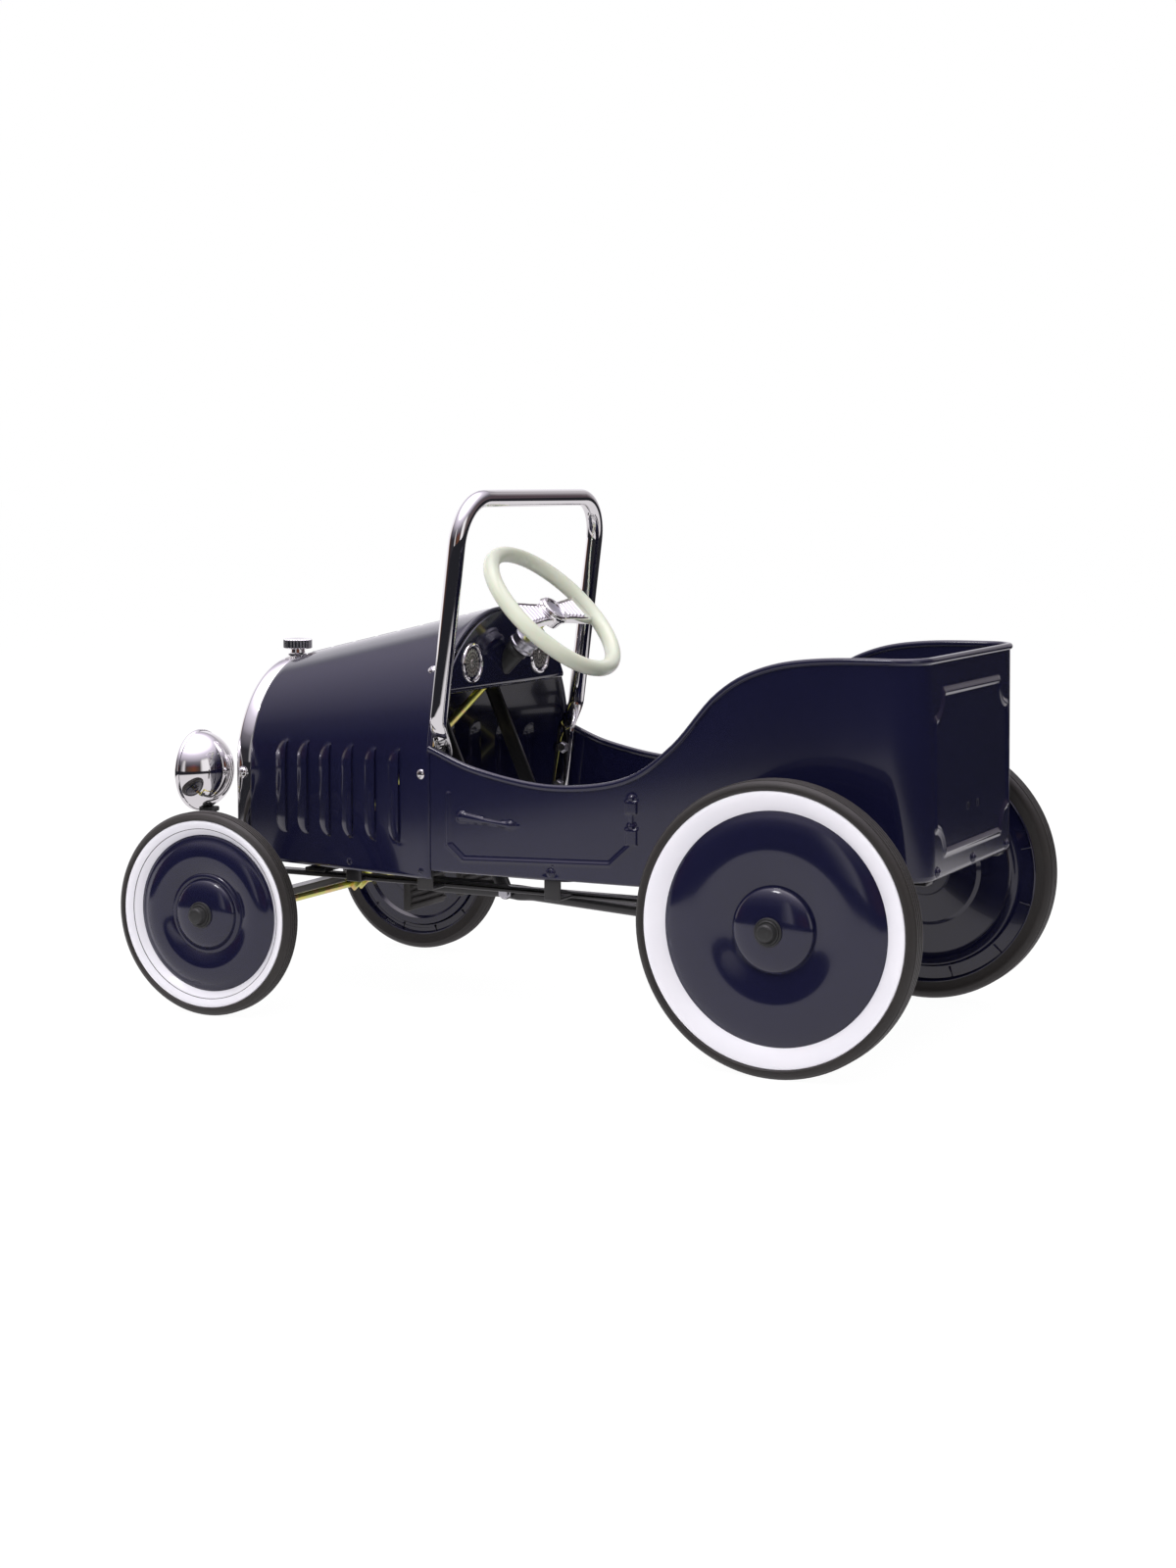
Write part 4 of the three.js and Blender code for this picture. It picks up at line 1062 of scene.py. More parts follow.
# ------------------------------------------------------------------ tub
@dataclass
class Tub:
    """The cockpit tub: one pressed sheet with door, handle, hinge and rear frame raised in it."""

    box: Paintbox
    shape: TubShape = field(default_factory=lambda: TUB_SHAPE)
    wall: float = 2.0
    rows: int = 112
    door: Sequence[Pair] = ((-75, 212), (-75, 166), (-60, 153), (85, 158), (107, 178))
    handle: tuple[Pair, Pair] = ((-61, 192), (-13, 187))
    frame_half: Pair = (99.0, 67.8)
    frame_z: float = 249.2
    scallop: float = 22.5

    def side_relief(self, y: Array, z: Array) -> Array:
        """Height of the pressing on a side: door outline, hinge and handle."""
        relief = bead(line_distance(y, z, self.door), 3.5, 1.7)
        hinge = np.maximum.reduce([pad(y, z, (106, 184), (6.0, 8.0), 2.0), pad(y, z, (106, 200),
                (2.4, 12.0), 1.6, 1.4), pad(y, z, (106, 210), (6.0, 6.5), 2.0),
                bead(np.hypot(y - 106, z - 218), 4.6, 2.6), bead(np.hypot(y - 106, z - 193), 4.6, 2.6)])
        (y0, z0), (y1, z1) = self.handle
        along = np.clip((y - y0) / (y1 - y0), 0, 1)
        across = line_distance(y, z, self.handle)
        waist = np.interp(along, (0, 0.6, 1), (4.6, 2.2, 2.8))
        bar = 2.6 * np.sqrt(np.clip(1 - (across / waist) ** 2, 0, 1))
        knobs = [3.0 * np.sqrt(np.clip(1 - (np.hypot(y - a, z - b) / r) ** 2, 0, 1)) for a, b,
            r in ((y0, z0, 5.2), (y1, z1, 4.2))]
        dimple = -1.3 * ease(1 - np.hypot(y - 27, z - 147) / 10)
        return np.maximum.reduce([relief, hinge, bar, *knobs]) + dimple

    def rear_relief(self, x: Array, z: Array) -> Array:
        """Height of the pressing on the rear panel: a frame with scalloped corners."""
        half_x, half_z = self.frame_half
        a, b = np.abs(x), np.abs(z - self.frame_z)
        cut = self.scallop
        lines = np.minimum(line_distance(a, b, ((half_x, 0), (half_x, half_z - cut))), line_distance(a, b,
                ((0, half_z), (half_x - cut, half_z))))
        lines = np.minimum(lines, arc_distance(a, b, (half_x, half_z), cut, (-1, -1)))
        return bead(lines, 3.4, 1.8)

    def skin(self, s: Array, t: Array) -> Array:
        """Gives the outer skin's points.

        Args:
            s: run along the plan.
            t: 0 at the bottom edge to 1 at the top edge.

        Returns:
            The points, in millimetres.
        """
        flat, _ = self.shape.place(s, np.full_like(s, 250.0))
        y = flat[:, 1]
        foot = self.shape.foot(y)
        z = mix(foot, self.shape.top(y), t)
        points, normal = self.shape.place(s, z)
        run = np.minimum(s, self.shape.run - s)
        on_side = run < self.shape.side_run
        relief = np.where(on_side, self.side_relief(points[:, 1], z), 0)
        on_back = run > self.shape.side_run + 0.6 * self.shape.arc_run
        relief = np.where(on_back, self.rear_relief(points[:, 0], z), relief)
        curl = 3.0
        for gap in (z - foot, run):
            short = np.clip(curl - gap, 0, curl)
            relief = relief - (curl - np.sqrt(curl * curl - short * short))
        return points + relief[:, None] * normal

    def lining(self, s: Array, t: Array) -> Array:
        """Gives the inner face's points."""
        flat, _ = self.shape.place(s, np.full_like(s, 250.0))
        z = mix(self.shape.foot(flat[:, 1]) + 0.4, self.shape.top(flat[:, 1]), t)
        points, _ = self.shape.place(s, z, inset=self.wall)
        return points

    def rim_path(self) -> list[Vector]:
        """Gives the line that the rolled top edge follows."""
        runs = stations((0, self.shape.side_run, 6), (self.shape.side_run, self.shape.side_run + 44, 4),
            (self.shape.side_run + 44, self.shape.half_run, 12))
        runs = np.concatenate([runs, self.shape.run - runs[::-1][1:]])
        flat, _ = self.shape.place(runs, np.full_like(runs, 300.0))
        points, _ = self.shape.place(runs, self.shape.top(flat[:, 1]) - 1.2, inset=0.8)
        return [Vector(p) * MM for p in points]

    def build(self) -> None:
        """Makes the outer skin, the lining and the rolled rim."""
        shape = self.shape
        back = shape.side_run + shape.arc_run
        half = stations((0, 4, 1.0), (4, 12, 2.7), (12, 86, 1.1), (86, 174, 3), (174, 208, 1.1),
            (208, shape.side_run, 5.5), (shape.side_run, back, 4.4), (back, back + 42, 1.2),
            (back + 42, shape.half_run, 4.5))
        runs = np.concatenate([half, shape.run - half[::-1][1:]])
        skin = pressed("tub_skin", runs, np.linspace(0, 1, self.rows + 1), self.skin)
        self.box.dress(skin, NAVY, "chassis", "tub_shell")
        coarse = np.linspace(0, shape.run, 181)
        lining = pressed("tub_lining", coarse, np.linspace(0, 1, 25), self.lining)
        lining.data.flip_normals()
        self.box.dress(lining, NAVY, "chassis")
        rim = swept("tub_rolled_rim", self.rim_path(), 3.1)
        self.box.dress(rim, NAVY, "chassis")


# ------------------------------------------------------------------ hood
@dataclass
class Hood:
    """The hood: an arched sheet with open louvres, a piano hinge and rolled rear edge."""

    box: Paintbox
    shape: HoodShape = field(default_factory=lambda: HOOD_SHAPE)
    wall: float = 1.6
    louvres: Sequence[float] = (-264.0, -237.6, -210.6, -183.6, -156.2, -128.4)
    louvre_width: float = 12.5
    louvre_z: Pair = (163.0, 249.0)
    louvre_rise: float = 2.5
    louvre_end: float = 15.0
    lip: float = 0.3

    def louvre_relief(self, y: Array, z: Array) -> Array:
        """Height of the louvres: each rises from a rounded front to a straight, open rear lip."""
        low, high = self.louvre_z
        near_end = np.clip(1 - np.minimum(z - low, high - z) / self.louvre_end, 0, 1)
        full = np.where((z > low) & (z < high), np.sqrt(1 - near_end**2), 0)
        relief = np.zeros_like(y)
        for lip_y in self.louvres:
            width = self.louvre_width * np.maximum(full, 0.05)
            t = (y - lip_y + width) / width
            inside = (t > 0) & (y <= lip_y + 1e-6)
            rise = 1 - (1 - np.clip(t, 0, 1)) ** 1.9
            relief = np.where(inside, self.louvre_rise * rise * full, relief)
        return relief

    def skin(self, y: Array, p: Array) -> Array:
        """Gives the hood's outer points for stations and arch places."""
        points, normal = self.shape.place(p, y)
        relief = self.louvre_relief(y, points[:, 2])
        curl = 2.2
        for gap in (points[:, 2] - self.shape.foot, y - self.shape.front_y + 0.6, self.shape.rear_y - y):
            short = np.clip(curl - gap, 0, curl)
            relief = relief - (curl - np.sqrt(np.clip(curl * curl - short * short, 0, None)))
        return points + relief[:, None] * normal

    def y_stations(self) -> Array:
        """Gives stations that follow each louvre closely and the plain sheet loosely."""
        marks: list[float] = [self.shape.front_y, self.shape.front_y + 0.8, self.shape.front_y + 1.8]
        for lip_y in self.louvres:
            start = lip_y - self.louvre_width
            marks += list(np.linspace(marks[-1], start - 0.4, max(2, round((start - marks[-1]) / 4)))[1:])
            marks += [start + self.louvre_width * k for k in (0.0, 0.02, 0.06, 0.13, 0.22, 0.34, 0.5, 0.7,
                    0.87, 1.0)]
            marks.append(lip_y + self.lip)
        marks += list(np.linspace(marks[-1], self.shape.rear_y - 2.4, 8)[1:])
        marks += [self.shape.rear_y - d for d in (1.5, 0.7, 0.0)]
        return np.array(marks)

    def open_lips(self, skin: Piece) -> None:
        """Cuts the wall under each louvre's rear lip out of the sheet."""
        mesh = skin.data
        normals = np.zeros(len(mesh.polygons) * 3)
        areas = np.zeros(len(mesh.polygons))
        centres = np.zeros(len(mesh.polygons) * 3)
        mesh.polygons.foreach_get("normal", normals)
        mesh.polygons.foreach_get("area", areas)
        mesh.polygons.foreach_get("center", centres)
        centres = centres.reshape(-1, 3) / MM
        facing = np.abs(normals.reshape(-1, 3)[:, 1]) > 0.93
        near_lip = np.min(np.abs(centres[:, 1:2] - (np.array(self.louvres) + self.lip / 2)),
            axis=1) < self.lip
        chosen = facing & near_lip
        pick(skin)
        bpy.ops.object.mode_set(mode="EDIT")
        bpy.ops.mesh.select_mode(type="FACE")
        bpy.ops.mesh.select_all(action="DESELECT")
        bpy.ops.object.mode_set(mode="OBJECT")
        mesh.polygons.foreach_set("select", chosen)
        bpy.ops.object.mode_set(mode="EDIT")
        bpy.ops.mesh.delete(type="FACE")
        bpy.ops.mesh.select_mode(type="VERT")
        bpy.ops.object.mode_set(mode="OBJECT")

    def hinge(self) -> None:
        """Models the piano hinge along the crown: a row of knuckles over a pin."""
        pitch, gap = 25.0, 2.4
        first, last = self.shape.front_y + 5, self.shape.rear_y - 6
        knuckle = turned("knuckle", [(0, 0), (1.5, 0), (2.0, 0.6), (2.0, pitch - gap - 0.6),
                (1.5, pitch - gap), (0, pitch - gap)], (0, 0, 0), Axis.Y, segments=20)
        count = int((last - first) / pitch)
        rise = (self.shape.crown[1] - self.shape.crown[0]) / (self.shape.rear_y - self.shape.front_y)
        slope = Matrix.Rotation(math.atan(rise), 4, "X")
        parts = []
        for k in range(count):
            y = first + k * pitch
            z = self.shape.crown[0] + rise * (y - self.shape.front_y) + 0.2
            parts.append(moved_copy(knuckle, f"knuckle_{k}", Matrix.Translation(Vector((0, y, z))
                    * MM) @ slope))
        bpy.data.objects.remove(knuckle)
        self.box.dress(joined("hood_hinge", parts), NAVY, "chassis")

    def rear_edge(self) -> None:
        """Models the rolled edge round the cockpit end of the hood, and the gasket at the radiator."""
        start = self.shape.param_at(self.shape.rear_y, 251)
        places = np.linspace(-start, start, 73)
        points, _ = self.shape.place(places, self.shape.rear_y + 0.6, inset=0.7)
        self.box.dress(swept("hood_rolled_edge", [Vector(q) * MM for q in points], 2.6), NAVY, "chassis")
        places = stations((-2, -1, 0.1), (-1, 1, 0.03), (1, 2, 0.1))
        points, _ = self.shape.place(places, self.shape.front_y, inset=0.2)
        gasket = swept("radiator_gasket", [Vector(q) * MM for q in points], 1.3, sides=4)
        self.box.dress(gasket, BLACK_PLASTIC, "chassis")

    def stamped_rings(self) -> None:
        """Models the small ring stamped on each side near the cockpit."""
        for side in Side:
            place, out = self.shape.on_side(-103, 265, side)
            ring = turned(f"stamped_ring_{side.word}", [(5.6, -0.6), (5.6, 0.0), (5.1, 0.7), (4.4, 0.7),
                    (3.9, 0.0), (3.9, -0.6), (5.6, -0.6)], place, out, segments=40)
            self.box.dress(ring, NAVY, "chassis")

    def build(self) -> None:
        """Makes the sheet and its trims."""
        places = stations((-2, -1.98, 0.01), (-1.98, -1, 0.0155), (-1, -0.72, 0.0115), (-0.72, -0.08,
                0.025), (-0.08, 0.08, 0.008))
        places = np.concatenate([places, -places[::-1][len(places[places > -0.0801]):]])
        skin = pressed("hood_skin", self.y_stations(), np.unique(np.round(places, 6)), self.skin)
        self.open_lips(skin)
        finish_with(skin, "SOLIDIFY", thickness=self.wall * MM, offset=-1)
        smooth(skin, 50)
        self.box.dress(skin, NAVY, "chassis", "hood_shell")
        self.hinge()
        self.rear_edge()
        self.stamped_rings()


# ------------------------------------------------------------------ radiator
@dataclass
class Radiator:
    """The chrome radiator shell with its grille and filler cap."""

    box: Paintbox
    shape: HoodShape = field(default_factory=lambda: HOOD_SHAPE)
    back_y: float = -309.3
    depth: float = 19.0
    flange: float = 17.0
    rounding: float = 6.5
    bar_pitch: float = 9.0
    knurls: int = 26

    def loop(self, u: Array, inset: Array) -> Array:
        """Gives points round the closed arch.

        Args:
            u: 0 to 1 once round, from the middle of the foot.
            inset: how far in from the outline, for each point.

        Returns:
            X and Z, one row each.
        """
        half, spring, crown = self.shape.section_at(self.shape.front_y)
        foot, corner = self.shape.foot, 7.0
        angles = np.linspace(0, math.pi, 65)
        turn = np.linspace(-math.pi / 2, 0, 9)
        right = [(0.0, foot)] + [(half - corner + corner * math.cos(a), foot + corner + corner
                * math.sin(a)) for a in turn]
        arch = [(half * math.cos(a), spring + (crown - spring) * math.sin(a)) for a in angles]
        outline = np.array(right + arch + [(-x, z) for x, z in right[::-1]])
        steps = np.hypot(*np.diff(outline, axis=0).T)
        run = np.concatenate([[0], np.cumsum(steps)]) / steps.sum()
        x, z = np.interp(u, run, outline[:, 0]), np.interp(u, run, outline[:, 1])
        middle_z = spring
        width_share = 1 - inset / half
        up_share = 1 - inset / (crown - middle_z)
        down_share = 1 - inset / (middle_z - foot)
        z = middle_z + (z - middle_z) * np.where(z > middle_z, up_share, down_share)
        return np.stack([x * width_share, z], axis=-1)

    def surface(self, u: Array, v: Array) -> Array:
        """Gives the shell's points: back along the hood, round the front edge and in over the flange."""
        r = self.rounding
        front = self.back_y - self.depth
        section = [(0.6, self.back_y), (0.0, self.back_y - 1.0), (0.0, front + r)]
        section += [(r - r * math.cos(a), front + r - r * math.sin(a)) for a in np.linspace(0.15, math.pi
                / 2, 9)]
        section += [(self.flange - 2.5, front + 0.4), (self.flange - 0.6, front + 1.2), (self.flange, front
                + 2.8), (self.flange, front + 6.0)]
        depth = np.array([q[0] for q in section])
        y = np.array([q[1] for q in section])
        place = v * (len(section) - 1)
        index = np.arange(len(section))
        flat = self.loop(u, np.interp(place, index, depth))
        return np.stack([flat[:, 0], np.interp(place, index, y), flat[:, 1]], axis=-1)

    def build(self) -> None:
        """Makes shell, grille and cap."""
        shell = pressed("radiator_surround", np.linspace(0, 1, 193), np.linspace(0, 1, 16), self.surface)
        heal(shell, 0.01)
        finish_with(shell, "SOLIDIFY", thickness=1.4 * MM, offset=-1)
        self.box.dress(smooth(shell, 50), CHROME, "chassis", "radiator_shell")
        self.grille()
        self.cap()
        for side in Side:
            half = self.shape.half[0]
            place = Vector((side.value * half, self.back_y - 9.0, 215))
            Fasteners(self.box).head(f"radiator_screw_{side.word}", place, Vector((side.value, 0, 0)), 4.6,
                Head.DOME, CHROME)

    def grille(self) -> None:
        """Models the core, a near-black sheet of painted shade behind the bars, and the upright chrome bars
        in front of it.
        """
        low, high = node_box("radiator_grille")
        half, spring, crown = self.shape.section_at(self.shape.front_y)
        y = high[1] - 0.4

        def core(u: Array, v: Array) -> Array:
            """Fills the arch from its middle out, with a fine waffle."""
            flat = self.loop(u, np.full_like(u, 3.4))
            x = flat[:, 0] * v
            z = spring - 10 + (flat[:, 1] - spring + 10) * v
            waffle = 0.5 * np.sin(x * 0.9) * np.sin(z * 0.9)
            return np.stack([x, np.full_like(x, y) + waffle, z], axis=-1)

        # Near-black core sheet with a fine waffle: painted shade behind the chrome bars.
        backing = pressed("radiator_core", np.linspace(0, 1, 121), np.linspace(0.01, 1, 60), core)
        heal(backing, 0.01)
        finish_with(backing, "SOLIDIFY", thickness=1.0 * MM, offset=0)
        self.box.dress(backing, PAINTED_SHADE_BLACK, "chassis", "radiator_grille")
        bars = []
        reach = half - self.flange + 3
        count = int(reach / self.bar_pitch)
        for k in range(-count, count + 1):
            x = k * self.bar_pitch
            rise = math.sqrt(max(0.0, 1 - (x / (half - 8)) ** 2))
            top = spring + (crown - spring - 8) * rise
            bars.append(slab("bar", (x - 1.7, low[1] - 3.6, self.shape.foot + 10), (x + 1.7, low[1] - 0.6,
                    top), 1.3))
        self.box.dress(joined("grille_bars", bars), CHROME, "chassis")
        spine = slab("grille_spine", (-4.2, low[1] - 5.4, self.shape.foot + 8), (4.2, low[1] - 2.6, crown
                - 12), 1.3)
        self.box.dress(spine, CHROME, "chassis")

    def cap(self) -> None:
        """Models the filler cap, knurled round its edge."""
        low, high = node_box("radiator_cap")
        centre = (low + high) / 2 - np.array([0, 2.4, 0])
        top = high[2] - 1.4
        r = (high[0] - low[0]) / 2
        profile = [(0, low[2] - 1), (9.5, low[2] - 1), (9.5, low[2] + 0.6), (7.2, low[2] + 1.6),
            (6.8, top - 10.4), (r - 2.8, top - 10.2), (r - 0.9, top - 9.9), (r, top - 9.2), (r, top - 1.6),
            (r - 0.8, top - 0.8), (r - 2.4, top - 0.3), (r - 3.6, top - 0.6), (r - 4.4, top - 0.9),
            (0, top - 0.7)]
        cap = turned("filler_cap", profile, (centre[0], centre[1], 0), Axis.Z, segments=self.knurls * 8)
        for vertex in cap.data.vertices:
            x, y = vertex.co.x / MM - centre[0], vertex.co.y / MM - centre[1]
            if math.hypot(x, y) > r - 1.2:
                wave = math.cos(self.knurls * math.atan2(y, x))
                swing = 1 - 0.045 + 0.045 * max(-1.0, min(1.0, 2.2 * wave))
                vertex.co.x = (centre[0] + x * swing) * MM
                vertex.co.y = (centre[1] + y * swing) * MM
        self.box.dress(cap, CHROME, "chassis", "radiator_cap")


# ------------------------------------------------------------------ headlights
@dataclass
class Headlight:
    """One headlight: bowl, bezel, reflector, bulb, glass and its stay."""

    side: Side
    box: Paintbox
    wall: float = 1.6

    def build(self) -> None:
        """Makes the lamp."""
        word = self.side.word
        low, high = node_box(f"headlight_bowl_{word}")
        radius = (high[0] - low[0]) / 2
        depth = high[1] - low[1]
        centre = np.array([(low[0] + high[0]) / 2, low[1], (low[2] + high[2]) / 2])
        turn = np.linspace(0, math.pi / 2, 22)
        outer = [(radius * math.sin(a) ** 0.96, depth * math.cos(a)) for a in turn]
        rim = [(radius, 3.6), (radius, 2.6)]
        inner = [((radius - self.wall) * math.sin(a), (depth - 6) * math.cos(a) + 3) for a in turn[::-1]]
        bowl = turned(f"lamp_bowl_{word}", [*outer[:-1], *rim, (radius - 1.4, 2.4), *inner[1:]], centre,
            Axis.Y, 96)
        self.box.dress(bowl, CHROME, "chassis", f"headlight_bowl_{word}")
        bezel = turned(f"lamp_bezel_{word}", [(radius - 3.4, 0.6), (radius - 2.4, 0.1), (radius - 0.9, 0.2),
                (radius + 0.3, 1.1), (radius + 0.9, 2.4), (radius + 0.9, 4.0), (radius + 0.2, 5.2),
                (radius - 1.0, 5.6), (radius - 3.4, 2.6), (radius - 3.4, 0.6)], centre, Axis.Y, 96)
        self.box.dress(bezel, CHROME, "chassis")
        glass = radius - 3.6
        dome = [(glass * math.sin(a), 2.8 - 2.2 * math.cos(a)) for a in np.linspace(0, math.pi / 2, 9)]
        back = [(glass, 3.6), (0, 3.4)]
        lens = turned(f"lamp_glass_{word}", [*dome, *back], centre, Axis.Y, 72)
        lens.data.materials.clear()
        lens.data.materials.append(self.box.made["lamp_glass"])
        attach(lens, "chassis")
        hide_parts(f"headlight_lens_{word}")
        bulb = turned(f"lamp_bulb_{word}", [(0, 9), (2.4, 9.4), (4.2, 11), (5, 13.5), (4.6, 16), (3.4, 19),
                (3.2, 25), (5.2, 26), (5.2, 31), (0, 31)], centre, Axis.Y, 32)
        self.box.dress(bulb, WHITE, "chassis")
        self.stay(word, centre, radius)

    def stay(self, word: str, centre: Array, radius: float) -> None:
        """Models the bent stay, its saddle under the bowl and its bolted foot."""
        sign = self.side.value
        front = HOOD_SHAPE.front_y - 0.3 - 19
        under = centre[2] - radius
        x = abs(centre[0])
        path = spline([(sign * 60, front - 6, 118), (sign * 60, front - 6, 140), (sign * 66, front - 6.6,
                148), (sign * 88, front - 7, 150), (sign * (x - 6), centre[1] + 24, 153),
                (sign * x, centre[1] + 16, 162), (sign * x, centre[1] + 14, under)])
        rod = swept(f"lamp_stay_{word}", path, 4.0)
        self.box.dress(rod, BLACK_ENAMEL, "chassis", f"headlight_stay_{word}")
        x = centre[0]
        saddle = slab(f"lamp_saddle_{word}", (x - 9, centre[1] + 7, under - 1.6), (x + 9, centre[1] + 19,
                under + 3.4), 1.4)
        nut = turned("nut", [(0, under - 6), (6.4, under - 6), (6.8, under - 5.4), (6.8, under - 2),
                (6.4, under - 1.4), (0, under - 1.4)], (x, centre[1] + 14.5, 0), Axis.Z, segments=6,
            angle=25)
        self.box.dress(joined(f"lamp_saddle_{word}", [saddle, nut]), BLACK_ENAMEL, "chassis")
        foot = slab(f"lamp_foot_{word}", (sign * 60 - 6, front - 8, 114.5), (sign * 60 + 6, -276, 118.5), 1.0)
        self.box.dress(foot, BLACK_ENAMEL, "chassis")


# ------------------------------------------------------------------ windshield
@dataclass
class Windshield:
    """The chrome hoop, whose legs are squashed flat and bolted inside the body."""

    box: Paintbox
    radius: float = 8.0
    half: float = 138.0
    bend: float = 42.0
    top_z: float = 475.6
    foot_z: float = 262.0
    foot_y: float = -86.0
    top_y: float = -60.0
    strap_x: float = 122.0
    strap_end: float = 178.0
    thickness: float = 4.2

    def lean(self, z: Array) -> Array:
        """Gives the hoop's station at a height."""
        return mix(self.foot_y, self.top_y, (z - self.foot_z) / (self.top_z - self.foot_z))

    def centre_line(self) -> list[Pair]:
        """Gives the left leg's X and Z from its end to the top's middle."""
        leg = self.top_z - self.bend
        crank = [(self.strap_x, z) for z in np.linspace(self.strap_end, 246, 10)]
        crank += [(mix(self.strap_x, self.half, float(ease(np.array(t)))), mix(246, 276, t))
            for t in np.linspace(0.08, 1, 12)]
        crank += [(self.half, z) for z in np.linspace(282, leg, 14)]
        for a in np.linspace(0, math.pi / 2, 15)[1:]:
            crank.append((self.half - self.bend * (1 - math.cos(a)), leg + self.bend * math.sin(a)))
        crank += [(x, self.top_z) for x in np.linspace(self.half - self.bend, 0, 8)[1:]]
        return crank

    def build(self) -> None:
        """Sweeps the tube, squashes its feet and bolts them."""
        left = self.centre_line()
        line = left + [(-x, z) for x, z in left[::-1][1:]]
        path = [Vector((x, float(self.lean(np.array(z))), z)) * MM for x, z in line]
        tube = swept("windshield_hoop", path, self.radius, sides=7)
        co = points_of(tube)
        leg_z = np.array([z for _, z in left])
        leg_x = np.array([x for x, _ in left])
        low = co[:, 2] < 300
        sign = np.sign(co[:, 0])
        middle_x = np.interp(co[:, 2], leg_z[:30], leg_x[:30]) * sign
        middle_y = self.lean(co[:, 2])
        squash = ease((282 - co[:, 2]) / 26)
        flat = self.thickness / (2 * self.radius)
        co[:, 0] = np.where(low, middle_x + (co[:, 0] - middle_x) * mix(1, flat, squash), co[:, 0])
        co[:, 1] = np.where(low, middle_y + (co[:, 1] - middle_y) * mix(1, 1.12, squash), co[:, 1])
        move_points(tube, co)
        self.box.dress(tube, CHROME, "chassis", "windshield_frame")
        fasteners = Fasteners(self.box)
        for side in Side:
            for index, z in enumerate((230.0, 192.0)):
                inner = self.strap_x - self.thickness / 2 + 0.3
                place = Vector((side.value * inner, float(self.lean(np.array(z))), z))
                fasteners.head(f"windshield_bolt_{side.word}_{index + 1}", place,
                    Vector((-side.value, 0, 0)), 5.0, Head.HEX, DULL_CHROME)


# ------------------------------------------------------------------ dashboard and steering wheel
@dataclass
class Dashboard:
    """The panel under the cowl with its two toy gauges."""

    box: Paintbox
    shape: HoodShape = field(default_factory=lambda: HOOD_SHAPE)
    bottom: float = 300.0
    roll: float = 4.0

    def build(self) -> None:
        """Makes the panel and the gauges."""
        face = node_box("dashboard")[1][1]
        half, spring, crown = self.shape.section_at(self.shape.rear_y)
        inset = 1.4

        def panel(u: Array, v: Array) -> Array:
            """Gives the panel's points, with its lower edge rolled forward."""
            z = mix(self.bottom, crown - inset - 0.2, v)
            share = np.clip((z - spring) / (crown - inset - spring), 0, 1)
            x = u * (half - inset) * np.sqrt(np.clip(1 - share * share, 0, 1))
            short = np.clip(self.roll - (z - self.bottom), 0, self.roll)
            y = face - (self.roll - np.sqrt(self.roll**2 - short**2)) - 0.4
            return np.stack([x, y, z], axis=-1)

        levels = np.concatenate([np.linspace(0, 0.06, 9), np.linspace(0.075, 0.9, 30), np.linspace(0.92, 1,
                14)])
        sheet = pressed("dash_panel", np.linspace(-1, 1, 61), levels, panel, wall=1.6)
        self.box.dress(sheet, NAVY, "chassis", "dashboard")
        for side in Side:
            self.gauge(side)

    def gauge(self, side: Side) -> None:
        """Models a gauge: chrome bezel, stamped face and a small hub."""
        word = side.word
        low, high = node_box(f"gauge_{word}")
        centre = (low + high) / 2
        radius = (high[0] - low[0]) / 2
        back, front = low[1] - 0.3, high[1]
        base = (centre[0], back, centre[2])
        tall = front - back
        bezel = turned(f"gauge_bezel_{word}", [(radius - 3.4, 0), (radius, 0), (radius, tall * 0.5),
                (radius - 0.7, tall * 0.9), (radius - 1.7, tall), (radius - 2.7, tall * 0.85),
                (radius - 3.4, tall * 0.3), (radius - 3.4, 0)], base, Axis.Y, 72)
        self.box.dress(bezel, CHROME, "chassis", f"gauge_{word}")
        face = turned(f"gauge_face_{word}", [(0, 0.2), (radius - 3.2, 0.2), (radius - 3.2, 0.8),
                (radius - 6, 1.3), (radius - 9, 1.2), (3.2, 1.4), (2.6, 2.2), (0, 2.4)], base, Axis.Y, 72)
        self.box.dress(face, DIAL, "chassis")


